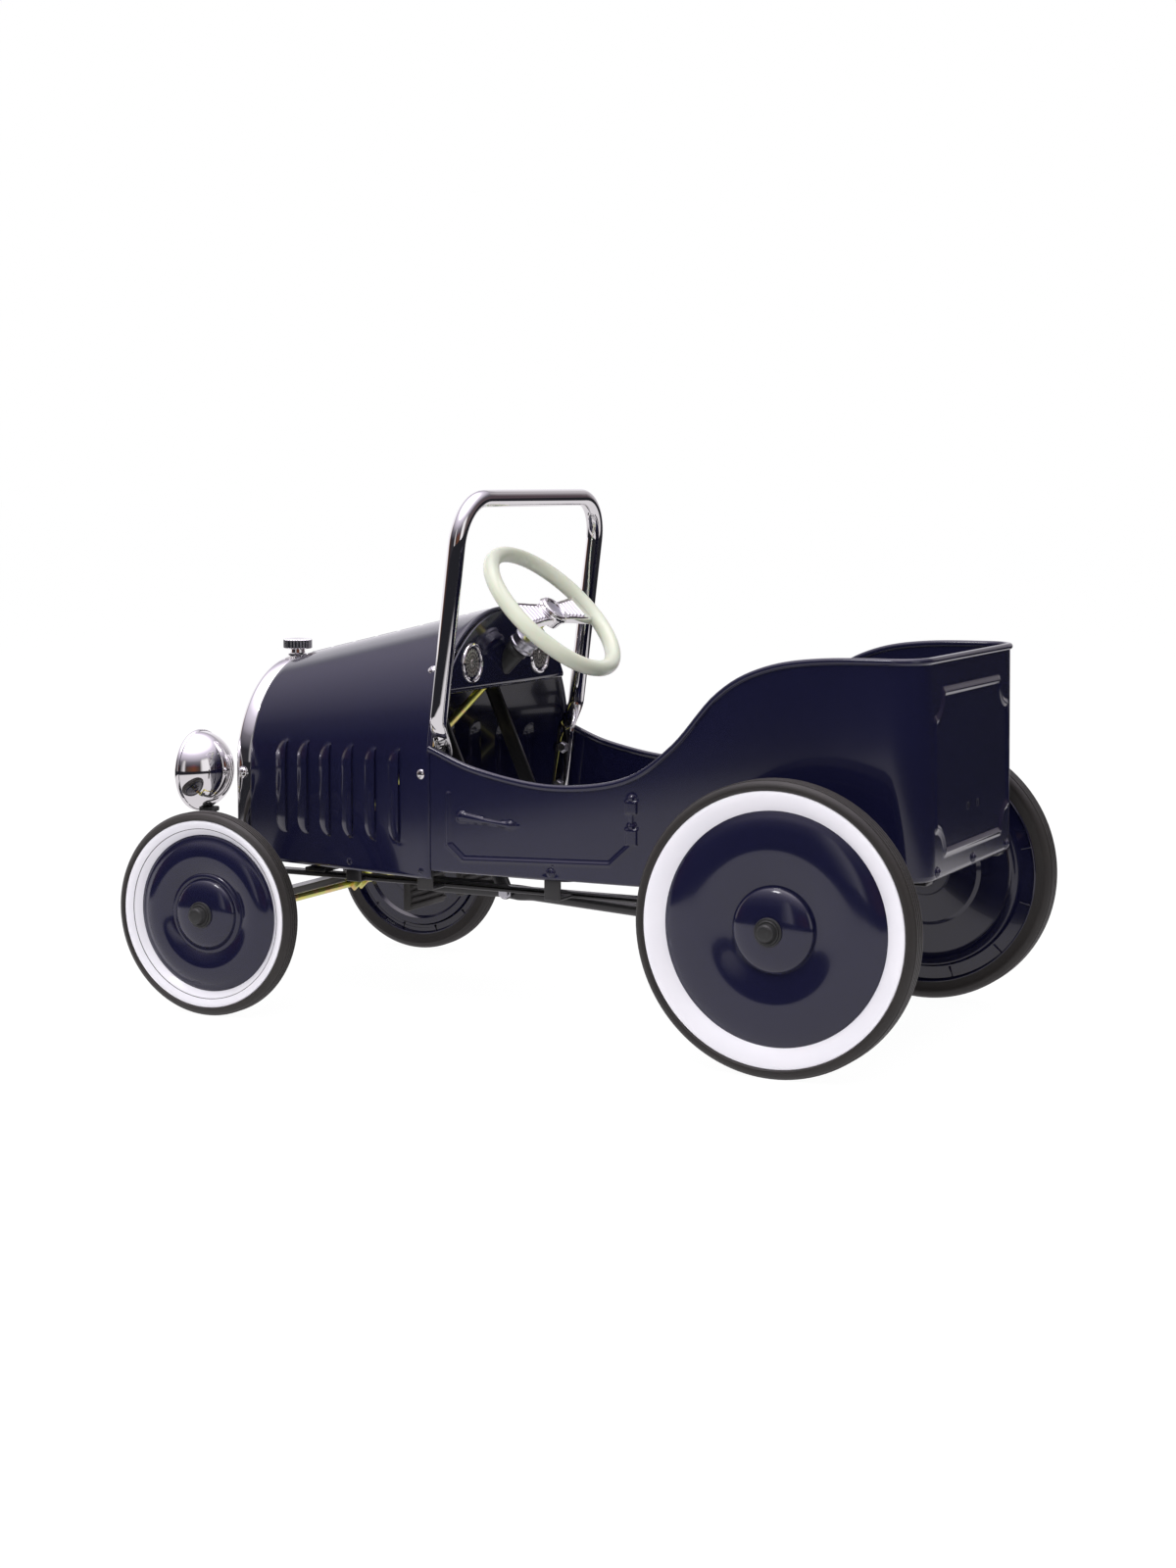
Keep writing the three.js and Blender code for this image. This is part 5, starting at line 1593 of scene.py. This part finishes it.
@dataclass
class SteeringWheel:
    """The steering wheel, collar, boss and shaft on a column that leans at 45 degrees."""

    box: Paintbox
    centre: Point = STEERING_CENTRE
    rim_radius: float = 73.0
    rim_tube: float = 7.5
    grips: int = 84
    grip_depth: float = 0.9

    def on_column(self, piece: Piece) -> Piece:
        """Moves a piece from the wheel's own frame (Z up the column, X across) to its place."""
        turn = Matrix.Rotation(math.pi / 4 - math.pi / 2, 4, "X")
        piece.data.transform(Matrix.Translation(Vector(self.centre) * MM) @ turn)
        return piece

    def ring(self, name: str, profile: Profile, segments: int, finish: Finish, body: str,
            *nodes: str) -> None:
        """Turns a profile about the column and dresses the piece."""
        piece = self.on_column(turned(name, profile, (0, 0, 0), Axis.Z, segments))
        self.box.dress(piece, finish, body, *nodes)

    def rim(self) -> None:
        """Models the moulded rim with finger grips round its inner side."""
        bpy.ops.object.select_all(action="DESELECT")
        bpy.ops.mesh.primitive_torus_add(major_segments=self.grips * 6, minor_segments=36,
            major_radius=self.rim_radius * MM, minor_radius=self.rim_tube * MM)
        rim = settle(bpy.context.object, "wheel_rim")
        for vertex in rim.data.vertices:
            x, y, z = vertex.co / MM
            reach, angle = math.hypot(x, y), math.atan2(y, x)
            inward = max(0.0, (self.rim_radius - reach) / self.rim_tube)
            away = min(1.0, max(0.0, (abs(math.sin(angle)) - 0.78) / 0.08))
            wave = (0.5 + 0.5 * math.cos(self.grips * angle)) ** 1.4
            pull = self.grip_depth * wave * inward**0.8 * away
            share = (reach + pull) / reach
            vertex.co = Vector((x * share, y * share, z)) * MM
        self.box.dress(smooth(self.on_column(rim), 60), CREAM, "steering", "steering_rim")

    def spokes(self) -> None:
        """Models the pressed two-arm spoke with raised ribs, its hub and cap."""
        reach = self.rim_radius - self.rim_tube + 1.5
        skirt = 5.0

        def bar(u: Array, v: Array) -> Array:
            """Gives the spoke's top face: flared arms with cross ribs and turned-down edges."""
            out = ease((np.abs(u) - 14) / (reach - 14))
            width = mix(10.5, 14.5, out)
            run = np.abs(v) * (width + skirt)
            y = np.sign(v) * np.where(run > width, width + 0.25 * (run - width), run)
            fall = np.clip(run - width + 0.6, 0, None)
            ribs = np.zeros_like(u)
            for k in range(5):
                ribs = np.maximum(ribs, bead(np.abs(u) - 25 - 6.6 * k, 1.7, 1.3))
            ribs = ribs * ease((width - 3.2 - run) / 1.2)
            border = bead(np.abs(run - width + 1.6), 1.2, 0.8) * ease((np.abs(u) - 18) / 3)
            return np.stack([u, y, ribs + border - fall], axis=-1)

        arms = pressed("wheel_spokes", np.linspace(-reach, reach, 181), np.linspace(-1, 1, 61), bar, wall=1.6)
        self.box.dress(self.on_column(arms), CHROME, "steering", "steering_spokes")
        self.ring("wheel_hub", [(0, -11.5), (10, -11.5), (13, -10.4), (14, -4), (15.5, -0.6), (15.8, 0.6),
                (15.0, 1.6), (0, 1.6)], 64, CHROME, "steering")
        self.ring("wheel_cap", [(0, 0.8), (14.0, 0.8), (14.4, 2.0), (14.0, 3.6), (12.8, 4.6), (11.2, 4.8),
                (10.0, 4.2), (9.4, 3.0), (9.4, 2.0), (0, 2.0)], 64, CHROME, "steering", "steering_hub_cap")
        self.ring("wheel_cap_centre", [(0, 2.1), (9.3, 2.1), (9.3, 3.0), (7.4, 3.2), (5.0, 2.8), (2.5, 2.6),
                (0, 2.5)], 48, DULL_CHROME, "steering")
        studs = []
        for k in range(6):
            turn = math.pi * (k + 0.5) / 3
            studs.append(turned("stud", [(0, 4.2), (1.0, 4.2), (0.9, 5.0), (0.5, 5.3), (0, 5.4)],
                    (12.0 * math.cos(turn), 12.0 * math.sin(turn), 0), Axis.Z, 12))
        self.box.dress(self.on_column(joined("wheel_cap_studs", studs)), CHROME, "steering")

    def column(self) -> None:
        """Models collar, boss, shaft, lever and crank pin."""
        self.ring("column_collar", [(4.2, -49), (11.5, -49), (13, -48), (13, -45.5), (11.8, -44.6),
                (11.8, -40.4), (13, -39.5), (13, -37), (11.5, -36), (4.2, -36), (4.2, -49)], 64,
            DULL_CHROME, "steering", "steering_collar")
        self.ring("column_bush", [(4.6, -77.4), (8.6, -77.4), (9.5, -76.4), (9.5, -56), (10.6, -55),
                (10.6, -52), (9.5, -50.4), (8, -49.7), (4.6, -49.7), (4.6, -77.4)], 56, BLACK_PLASTIC,
            "chassis", "column_boss")
        foot = self.foot_distance()
        shaft = turned("column_shaft", [(0, -foot + 8), (3.4, -foot + 8), (4, -foot + 9), (4, -11),
                (0, -11)], (0, 0, 0), Axis.Z, 28)
        arm_at = foot - 14
        lever = slab("lever", (-7, -8, -arm_at), (7, 45, -arm_at + 4), 1.2)
        pin = turned("pin", [(0, -foot + 6), (3.4, -foot + 6), (4, -foot + 7), (4, -arm_at),
                (6.6, -arm_at + 3.9), (6.6, -arm_at + 7), (0, -arm_at + 7.6)], (0, STEERING_ARM, 0), Axis.Z,
            28)
        self.box.dress(self.on_column(joined("column_shaft", [shaft, lever, pin])), ZINC, "steering",
            "steering_shaft")

    def foot_distance(self) -> float:
        """Gives the distance down the column from the wheel to the tie rod's level."""
        _, wheel_y, wheel_z = self.centre
        root = math.sqrt(0.5)
        return -(tie_rod_place()[0] - wheel_y) * root - (node_centre("tie_rod")[2] - wheel_z) * root

    def build(self) -> None:
        """Makes rim, spokes and column."""
        self.rim()
        self.spokes()
        self.column()


# ------------------------------------------------------------------ seat
@dataclass
class Seat:
    """The pressed seat pan: dished, ribbed and rolled down in front."""

    box: Paintbox
    dish: float = 3.0
    lip: float = 26.0

    def build(self) -> None:
        """Makes the pan."""
        low, high = node_box("seat_pan")
        top, front, rear = high[2], low[1], high[1]
        half_front, half_rear = high[0], high[0] - 4.5

        def pan(u: Array, v: Array) -> Array:
            """Gives the pan's points, from the foot of its lip back to its rear edge."""
            bend = 7.0
            drop = self.lip - bend
            run = v * (drop + bend * math.pi / 2 + rear - front - bend)
            turn = np.clip((run - drop) / bend, 0, math.pi / 2)
            y = front + bend * (1 - np.cos(turn)) + np.clip(run - drop - bend * math.pi / 2, 0, None)
            z = top - bend * (1 - np.sin(turn)) - np.clip(drop - run, 0, None)
            back = (y - front) / (rear - front)
            x = u * mix(half_front, half_rear, back)
            flat = ease((y - front - 24) / 30) * ease((rear - 14 - y) / 30) * ease((1 - np.abs(u)) / 0.25)
            ribs = sum(bead(x - middle, 7, 2.4) for middle in (-60, 0, 60)) * ease((y - front - 50) / 12)
            return np.stack([x, y, z + (ribs * ease((rear - 40 - y) / 12) - self.dish) * flat], axis=-1)

        sheet = pressed("seat_pressing", np.linspace(-1, 1, 101), np.linspace(0, 1, 111), pan, wall=1.4)
        sheet.data.flip_normals()
        self.box.dress(sheet, NAVY, "chassis", "seat_pan")


# ------------------------------------------------------------------ chassis and drive
@dataclass
class Chassis:
    """Rails, members, axles and bearings, and the parts that carry the steering."""

    box: Paintbox

    def eased(self, node: str, name: str, finish: Finish, body: str, width: float = 0.8) -> None:
        """Replaces a frame node by a copy of it whose edges are rounded.

        Args:
            node: the frame node.
            name: the new piece's name.
            finish: what it is finished in.
            body: the body it moves with.
            width: the rounding's width, in millimetres.
        """
        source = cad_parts[node]
        piece = source.copy()
        piece.data = source.data.copy()
        for key in list(piece.keys()):
            del piece[key]
        bpy.context.collection.objects.link(piece)
        piece.hide_render = False
        piece.hide_viewport = False
        piece.matrix_world = source.matrix_world
        piece.parent = None
        settle(piece, name)
        with editing(piece):
            bpy.ops.mesh.remove_doubles(threshold=0.01 * MM)
            bpy.ops.mesh.dissolve_limited(angle_limit=math.radians(1))
        soften(piece, width, angle=40)
        self.box.dress(smooth(piece, 32), finish, body, node)

    def tie_rod(self) -> None:
        """Models the tie rod: a round bar with flattened, pinned eyes and the fork in its middle."""
        y, z = tie_rod_place()
        reach = 150.0
        bar = swept("bar", [Vector((x, y, z)) * MM for x in np.linspace(-reach + 6, reach - 6, 41)], 3.5,
            sides=5)
        co = points_of(bar)
        flat = ease((np.abs(co[:, 0]) - reach + 22) / 10)
        co[:, 1] = y + (co[:, 1] - y) * mix(1, 1.7, flat)
        co[:, 2] = z + (co[:, 2] - z) * mix(1, 0.65, flat)
        move_points(bar, co)
        parts = [bar]
        for side in Side:
            eye = turned("eye", [(4.4, -2.3), (8, -2.3), (8.5, -1.6), (8.5, 1.6), (8, 2.3), (4.4, 2.3),
                    (4.4, -2.3)], (side.value * reach, y, z), Axis.Z, 32)
            parts.append(eye)
            x0 = side.value * 4.8
            x1 = side.value * 7.8
            cheek = slab("cheek", (min(x0, x1), -8, -2), (max(x0, x1), 8, 10.5), 0.8)
            turn = Matrix.Rotation(-math.pi / 4, 4, "X")
            cheek.data.transform(Matrix.Translation(Vector((0, y, z)) * MM) @ turn)
            parts.append(cheek)
        self.box.dress(smooth(joined("steering_tie_rod", parts), 35), ZINC, "tie_rod", "tie_rod")

    def bushes(self) -> None:
        """Models the brass collars, each with a narrower sleeve, on the axles beside each wheel."""
        for corner, body in (("rear_left", "crank_axle"), ("rear_right", "crank_axle"), ("front_left",
                    "stub_left"), ("front_right", "stub_right")):
            low, high = node_box(f"wheel_disc_{corner}")
            centre = (low + high) / 2
            sign = 1 if centre[0] > 0 else -1
            inner = low[0] if sign > 0 else high[0]
            place = (inner - sign * 0.6, centre[1], centre[2])
            into = Axis.MINUS_X if sign > 0 else Axis.X
            collar = turned(f"axle_collar_{corner}", [(5.0, 0), (10.5, 0), (11.2, 0.8), (11.2, 2.2),
                    (10.4, 3), (8.4, 3.2), (8.4, 7.6), (7.6, 8.4), (5.0, 8.4), (5.0, 0)], place, into, 40)
            self.box.dress(collar, BRASS, body)

    def build(self) -> None:
        """Dresses every chassis part."""
        for side in Side:
            word = side.word
            self.eased(f"chassis_rail_{word}", f"rail_{word}", BLACK_ENAMEL, "chassis", 0.9)
            self.eased(f"rear_axle_bearing_{word}", f"axle_plate_{word}", BLACK_ENAMEL, "chassis", 1.0)
            self.eased(f"stub_axle_{word}", f"stub_{word}", ZINC, f"stub_{word}", 0.7)
        for node, name in (("front_cross_member", "cross_member_front"), ("rear_cross_member",
                    "cross_member_rear"), ("column_bearing_plate", "column_bearing"), ("front_axle_beam",
                    "axle_beam_front")):
            self.eased(node, name, BLACK_ENAMEL, "chassis", 0.8)
        low, high = node_box("hanger_pivot_rod")
        middle = (low + high) / 2
        rod = turned("pivot_rod", [(0, 0), (3.5, 0), (4, 0.6), (4, high[0] - low[0] - 0.6),
                (3.5, high[0] - low[0]), (0, high[0] - low[0])], (low[0], middle[1], middle[2]), Axis.X, 28)
        self.box.dress(rod, ZINC, "chassis", "hanger_pivot_rod")
        self.tie_rod()
        self.bushes()


@dataclass
class PedalDrive:
    """Crank axle, pedal rods, pedals and hangers."""

    box: Paintbox
    axle_y: float = 266.0
    throw: float = 31.0
    crank_x: float = 50.0
    bolt_y: float = -58.0
    bolt_z: float = 113.0
    pad_y: float = -146.0
    flat_end: float = -44.0
    rod_radius: float = 6.5

    def axle(self) -> None:
        """Models the crank axle as one bent rod with a throw on each side."""
        axle_z = node_centre("tyre_rear_left")[2]
        end = node_box("crank_axle")[1][0]
        web, bend = self.crank_x - 13.5, 5.0
        web_out = self.crank_x + 13.5

        def throw(sign: int) -> list[Point]:
            """Gives one throw's corners, from the middle of the car outwards."""
            fall = -sign * self.throw
            ease_z = bend * (1 if fall > 0 else -1)
            return [(sign * (web - bend), 0, 0), (sign * (web - 1.2), 0, ease_z * 0.25), (sign * web, 0,
                    ease_z), (sign * web, 0, fall - ease_z), (sign * (web + 1.2), 0, fall - ease_z * 0.25),
                (sign * (web + bend), 0, fall), (sign * (web_out - bend), 0, fall), (sign * (web_out - 1.2),
                    0, fall - ease_z * 0.25), (sign * web_out, 0, fall - ease_z), (sign * web_out, 0,
                    ease_z), (sign * (web_out + 1.2), 0, ease_z * 0.25), (sign * (web_out + bend), 0, 0)]

        line = [(-end, 0, 0), *throw(-1)[::-1], *throw(1), (end, 0, 0)]
        points = []
        for (x0, _, z0), (x1, _, z1) in zip(line, line[1:]):
            count = max(1, round(math.hypot(x1 - x0, z1 - z0) / 10))
            for k in range(count):
                t = k / count
                points.append(Vector((mix(x0, x1, t), self.axle_y, axle_z + mix(z0, z1, t))) * MM)
        points.append(Vector((end, self.axle_y, axle_z)) * MM)
        rod = swept("bent_crank_axle", points, 5.4, sides=5)
        self.box.dress(rod, BLACK_ENAMEL, "crank_axle", "crank_axle")

    def rod(self, side: Side) -> None:
        """Models a pedal rod: a tube, squashed flat and pinched at the hanger, with an eye at the crank."""
        sign, word = side.value, side.word
        axle_z = node_centre("tyre_rear_left")[2]
        pin_z = axle_z - sign * self.throw
        slope = (self.bolt_z - pin_z) / (self.bolt_y - self.axle_y)
        x = sign * self.crank_x
        start, end = self.pad_y + 0.6, self.axle_y - 8

        def height(y: float) -> float:
            """Gives the rod's middle height at a station."""
            return self.bolt_z + 1.2 if y < self.bolt_y else self.bolt_z + slope * (y - self.bolt_y)

        runs = np.concatenate([np.linspace(start, self.flat_end + 14, 60), np.linspace(self.flat_end + 18,
                end, 24)])
        tube = swept("tube", [Vector((x, y, height(y))) * MM for y in runs], self.rod_radius, sides=6)
        co = points_of(tube)
        y = co[:, 1]
        flat = ease((self.flat_end + 12 - y) / 18)
        pinch = np.exp(-((y - self.bolt_y) / 9) ** 2)
        middle = np.array([height(v) for v in y])
        thin, tall = 2.5 / self.rod_radius, 7.5 / self.rod_radius
        co[:, 0] = (x + (co[:, 0] - x) * mix(1, thin, flat)) + sign * flat * 4.0
        co[:, 2] = middle + (co[:, 2] - middle) * mix(1, tall, flat) * (1 - 0.08 * pinch)
        move_points(tube, co)
        eye = turned("eye", [(5.2, -6), (9.6, -6), (10.5, -5.2), (10.5, 5.2), (9.6, 6), (5.2, 6),
                (5.2, -6)], (x, self.axle_y, pin_z), Axis.X, 40)
        whole = joined(f"pedal_tube_{word}", [tube, eye])
        self.box.dress(smooth(whole, 35), BLACK_ENAMEL, f"pedal_rod_{word}", f"pedal_rod_{word}")

    def pad(self, side: Side) -> None:
        """Models a pedal: a thick rubber block, rounded over its plate and ribbed on its face."""
        word = side.word
        low, high = node_box(f"pedal_pad_{word}")
        block = slab("block", (low[0], low[1], low[2]), (high[0], self.pad_y, high[2]), 2.6)
        ribs = []
        count = 7
        pitch = (high[2] - low[2] - 5) / count
        for k in range(count):
            z = low[2] + 2.5 + pitch * (k + 0.5)
            ribs.append(slab("rib", (low[0] + 2.2, self.pad_y - 1.2, z - 1.7), (high[0] - 2.2, self.pad_y
                    + 2.2, z + 1.7), 1.1))
        whole = joined(f"pedal_block_{word}", [block, *ribs])
        self.box.dress(smooth(whole), PEDAL_RUBBER, f"pedal_rod_{word}", f"pedal_pad_{word}")
        plate = slab(f"pedal_plate_{word}", (low[0] + 6, low[1] - 1.4, low[2] + 6), (high[0] - 6, low[1]
                + 0.5, high[2] - 6), 0.6)
        self.box.dress(plate, BLACK_ENAMEL, f"pedal_rod_{word}")

    def hanger(self, side: Side) -> None:
        """Models a hanger strap with its bolt, nut and washer."""
        word, sign = side.word, side.value
        Chassis(self.box).eased(f"pedal_hanger_{word}", f"hanger_strap_{word}", BLACK_ENAMEL,
            f"hanger_{word}", 0.7)
        low, high = node_box(f"pedal_hanger_{word}")
        outer = high[0] if sign > 0 else low[0]
        place = Vector((outer - sign * 3.4, self.bolt_y, self.bolt_z))
        Fasteners(self.box).head(f"hanger_bolt_{word}", place, Vector((sign, 0, 0)), 5.4, Head.HEX,
            DULL_CHROME, f"hanger_{word}")

    def build(self) -> None:
        """Makes the drive."""
        self.axle()
        for side in Side:
            self.rod(side)
            self.pad(side)
            self.hanger(side)


# ------------------------------------------------------------------ studio
@dataclass
class Studio:
    """Pale floor, soft overhead light and the camera."""

    lens: float = 59.36
    place: Point = (2.1468, 1.0612, 0.4961)
    azimuth: float = 116.359
    elevation: float = 6.797
    roll: float = 0.207
    backdrop_side: Point = (-0.76, -0.65, 0.0)

    def camera(self) -> None:
        """Sets the camera behind and to the left of the car."""
        az, el, roll = (math.radians(v) for v in (self.azimuth, self.elevation, self.roll))
        back = Vector((math.sin(az) * math.cos(el), -math.cos(az) * math.cos(el), math.sin(el)))
        right = Vector((0, 0, 1)).cross(back).normalized()
        up = back.cross(right)
        right, up = (right * math.cos(roll) + up * math.sin(roll), up * math.cos(roll) - right
            * math.sin(roll))
        data = bpy.data.cameras.new("camera")
        data.lens = self.lens
        data.sensor_width = 36
        camera = bpy.data.objects.new("camera", data)
        bpy.context.collection.objects.link(camera)
        camera.matrix_world = Matrix.Translation(self.place) @ Matrix((right, up, back)).transposed().to_4x4()
        bpy.context.scene.camera = camera

    def area(self, name: str, place: Point, aim: Point, size: Pair, power: float, colour: Colour = (1, 1,
                1), mirrored: bool = False) -> None:
        """Adds a soft rectangular light.

        Args:
            name: the light's name.
            place: where it stands, in metres.
            aim: the point it faces, in metres.
            size: its sides, in metres.
            power: its watts.
            colour: its colour.
            mirrored: whether it shows in reflections.
        """
        data = bpy.data.lights.new(name, "AREA")
        data.shape = "RECTANGLE"
        data.size, data.size_y = size
        data.energy = power
        data.color = colour
        light = bpy.data.objects.new(name, data)
        bpy.context.collection.objects.link(light)
        toward = Vector(place) - Vector(aim)
        light.matrix_world = Matrix.Translation(place) @ toward.to_track_quat("Z", "Y").to_matrix().to_4x4()
        light.visible_camera = False
        light.visible_glossy = mirrored

    def world(self) -> None:
        """Makes a surround that is white to the eye; in reflections it is a dim room with a bright ceiling.

        Round the car stand pale backdrops in front and behind, and dark, brownish walls between them.
        """
        world = bpy.data.worlds.new("studio")
        bpy.context.scene.world = world
        world.use_nodes = True
        world.node_tree.nodes.clear()
        graph = Graph(world.node_tree)
        toward = graph.add("ShaderNodeTexCoord").outputs["Generated"]
        height = graph.add("ShaderNodeSeparateXYZ", {0: toward})
        sky = graph.ramp(height.outputs["Z"], [(0.0, (0.004, 0.004, 0.006, 1)), (0.2, (0.010, 0.010, 0.013,
                1)), (0.42, (0.06, 0.055, 0.065, 1)), (0.71, (0.26, 0.24, 0.28, 1)),
                (0.87, (0.55, 0.51, 0.59, 1)), (1.0, (1.0, 0.93, 1.0, 1))])
        angle = graph.calc("ARCTAN2", height.outputs["Y"], height.outputs["X"])
        round_room = graph.add("ShaderNodeMapRange", {"Value": angle, "From Min": -math.pi,
                "From Max": math.pi})
        walls = graph.ramp(round_room.outputs[0], [(place, (*colour, 1)) for place,
                colour in ((0.0, (0.20, 0.19, 0.20)), (0.08, (0.32, 0.31, 0.33)),
                (0.24, (0.34, 0.33, 0.35)), (0.275, (0.20, 0.17, 0.15)), (0.29, (0.03, 0.012, 0.008)),
                (0.36, (0.012, 0.010, 0.012)), (0.47, (0.010, 0.010, 0.012)), (0.505, (0.26, 0.25, 0.26)),
                (0.522, (0.02, 0.015, 0.014)), (0.60, (0.05, 0.018, 0.010)), (0.655, (0.02, 0.015, 0.014)),
                (0.68, (0.30, 0.29, 0.30)), (0.73, (0.32, 0.31, 0.32)), (0.77, (0.04, 0.03, 0.03)),
                (0.93, (0.03, 0.022, 0.026)), (0.97, (0.16, 0.15, 0.16)))])
        low_down = graph.ramp(height.outputs["Z"], [(0.45, (1, 1, 1, 1)), (0.62, (0, 0, 0, 1))])
        whole = graph.blend(1.0, sky, graph.blend(1.0, walls, low_down, "MULTIPLY"), "LIGHTEN")
        path = graph.add("ShaderNodeLightPath")
        glossy = graph.add("ShaderNodeBackground", {"Color": whole, "Strength": 3.2})
        fill = graph.add("ShaderNodeBackground", {"Color": (1, 1, 1, 1), "Strength": 0.42})
        white = graph.add("ShaderNodeBackground", {"Color": (1, 1, 1, 1), "Strength": 1.0})
        inner = graph.add("ShaderNodeMixShader", {0: path.outputs["Is Glossy Ray"], 1: fill.outputs[0],
                2: glossy.outputs[0]})
        outer = graph.add("ShaderNodeMixShader", {0: path.outputs["Is Camera Ray"], 1: inner.outputs[0],
                2: white.outputs[0]})
        graph.add("ShaderNodeOutputWorld", {"Surface": outer.outputs[0]})

    def floor(self) -> None:
        """Lays a pale floor; in the car's reflections it is white close by and behind, and dark far off."""
        bpy.ops.object.select_all(action="DESELECT")
        bpy.ops.mesh.primitive_plane_add(size=60)
        floor = bpy.context.object
        floor.name = "floor"
        material, graph = fresh_material("pale_floor")
        pale = graph.add("ShaderNodeBsdfPrincipled", {"Base Color": (0.88, 0.88, 0.88, 1), "Roughness": 0.9})
        place = graph.add("ShaderNodeTexCoord").outputs["Object"]
        reach = graph.add("ShaderNodeVectorMath", {0: place}, operation="LENGTH")
        near = graph.add("ShaderNodeMapRange", {"Value": reach.outputs["Value"], "From Min": 1.6,
                "From Max": 1.3})
        heading = graph.add("ShaderNodeVectorMath", {0: place}, operation="NORMALIZE")
        behind = graph.add("ShaderNodeVectorMath", {0: heading.outputs[0], 1: self.backdrop_side},
            operation="DOT_PRODUCT")
        far = graph.add("ShaderNodeMapRange", {"Value": behind.outputs["Value"], "From Min": 0.6,
                "From Max": 0.85})
        either = graph.calc("MAXIMUM", near.outputs[0], far.outputs[0])
        level = graph.ramp(either, [(0.0, (0.02, 0.02, 0.025, 1)), (1.0, (0.80, 0.77, 0.80, 1))])
        mirrored = graph.add("ShaderNodeEmission", {"Color": level, "Strength": 1.0})
        glow = graph.add("ShaderNodeEmission", {"Color": (1, 1, 1, 1), "Strength": 1.05})
        path = graph.add("ShaderNodeLightPath")
        seen = graph.add("ShaderNodeMixShader", {0: 0.92, 1: pale.outputs[0], 2: glow.outputs[0]})
        split = graph.add("ShaderNodeMixShader", {0: path.outputs["Is Glossy Ray"], 1: pale.outputs[0],
                2: mirrored.outputs[0]})
        whole = graph.add("ShaderNodeMixShader", {0: path.outputs["Is Camera Ray"], 1: split.outputs[0],
                2: seen.outputs[0]})
        graph.add("ShaderNodeOutputMaterial", {"Surface": whole.outputs[0]})
        floor.data.materials.append(material)

    def build(self) -> None:
        """Sets the whole studio."""
        scene = bpy.context.scene
        scene.view_settings.view_transform = "Standard"
        self.world()
        self.floor()
        self.area("overhead", (0.0, -0.1, 2.4), (0, 0, 0.2), (2.6, 2.6), 34, (0.97, 0.97, 1.0))
        self.area("key", (2.6, 1.0, 2.5), (0, 0, 0.2), (1.8, 1.8), 52)
        self.area("front_fill", (1.2, -2.6, 1.9), (0, -0.1, 0.2), (1.6, 1.6), 20)
        self.area("back_fill", (-2.4, 0.9, 2.2), (0, 0, 0.2), (1.6, 1.6), 14)
        self.area("softbox", (1.46, -0.35, 2.3), (0.2, 0.1, 0.2), (0.5, 0.34), 9, mirrored=True)
        self.camera()


def main() -> None:
    """Builds the car piece by piece, then the studio."""
    box = Paintbox()
    Studio().build()
    Tub(box).build()
    Hood(box).build()
    Radiator(box).build()
    for side in Side:
        Headlight(side, box).build()
    Windshield(box).build()
    Dashboard(box).build()
    SteeringWheel(box).build()
    Seat(box).build()
    Chassis(box).build()
    PedalDrive(box).build()
    Fasteners(box).build()
    for side, body in ((Side.LEFT, "crank_axle"), (Side.RIGHT, "rear_wheel_right")):
        RearWheel(f"rear_{side.word}", side, body, box, dish=7.5, band_width=17.0).build()
    for side in Side:
        FrontWheel(f"front_{side.word}", side, f"front_wheel_{side.word}", box, dish=8.5,
            band_width=13.8).build()
    log.info("car finished")


if __name__ == "__main__":
    main()
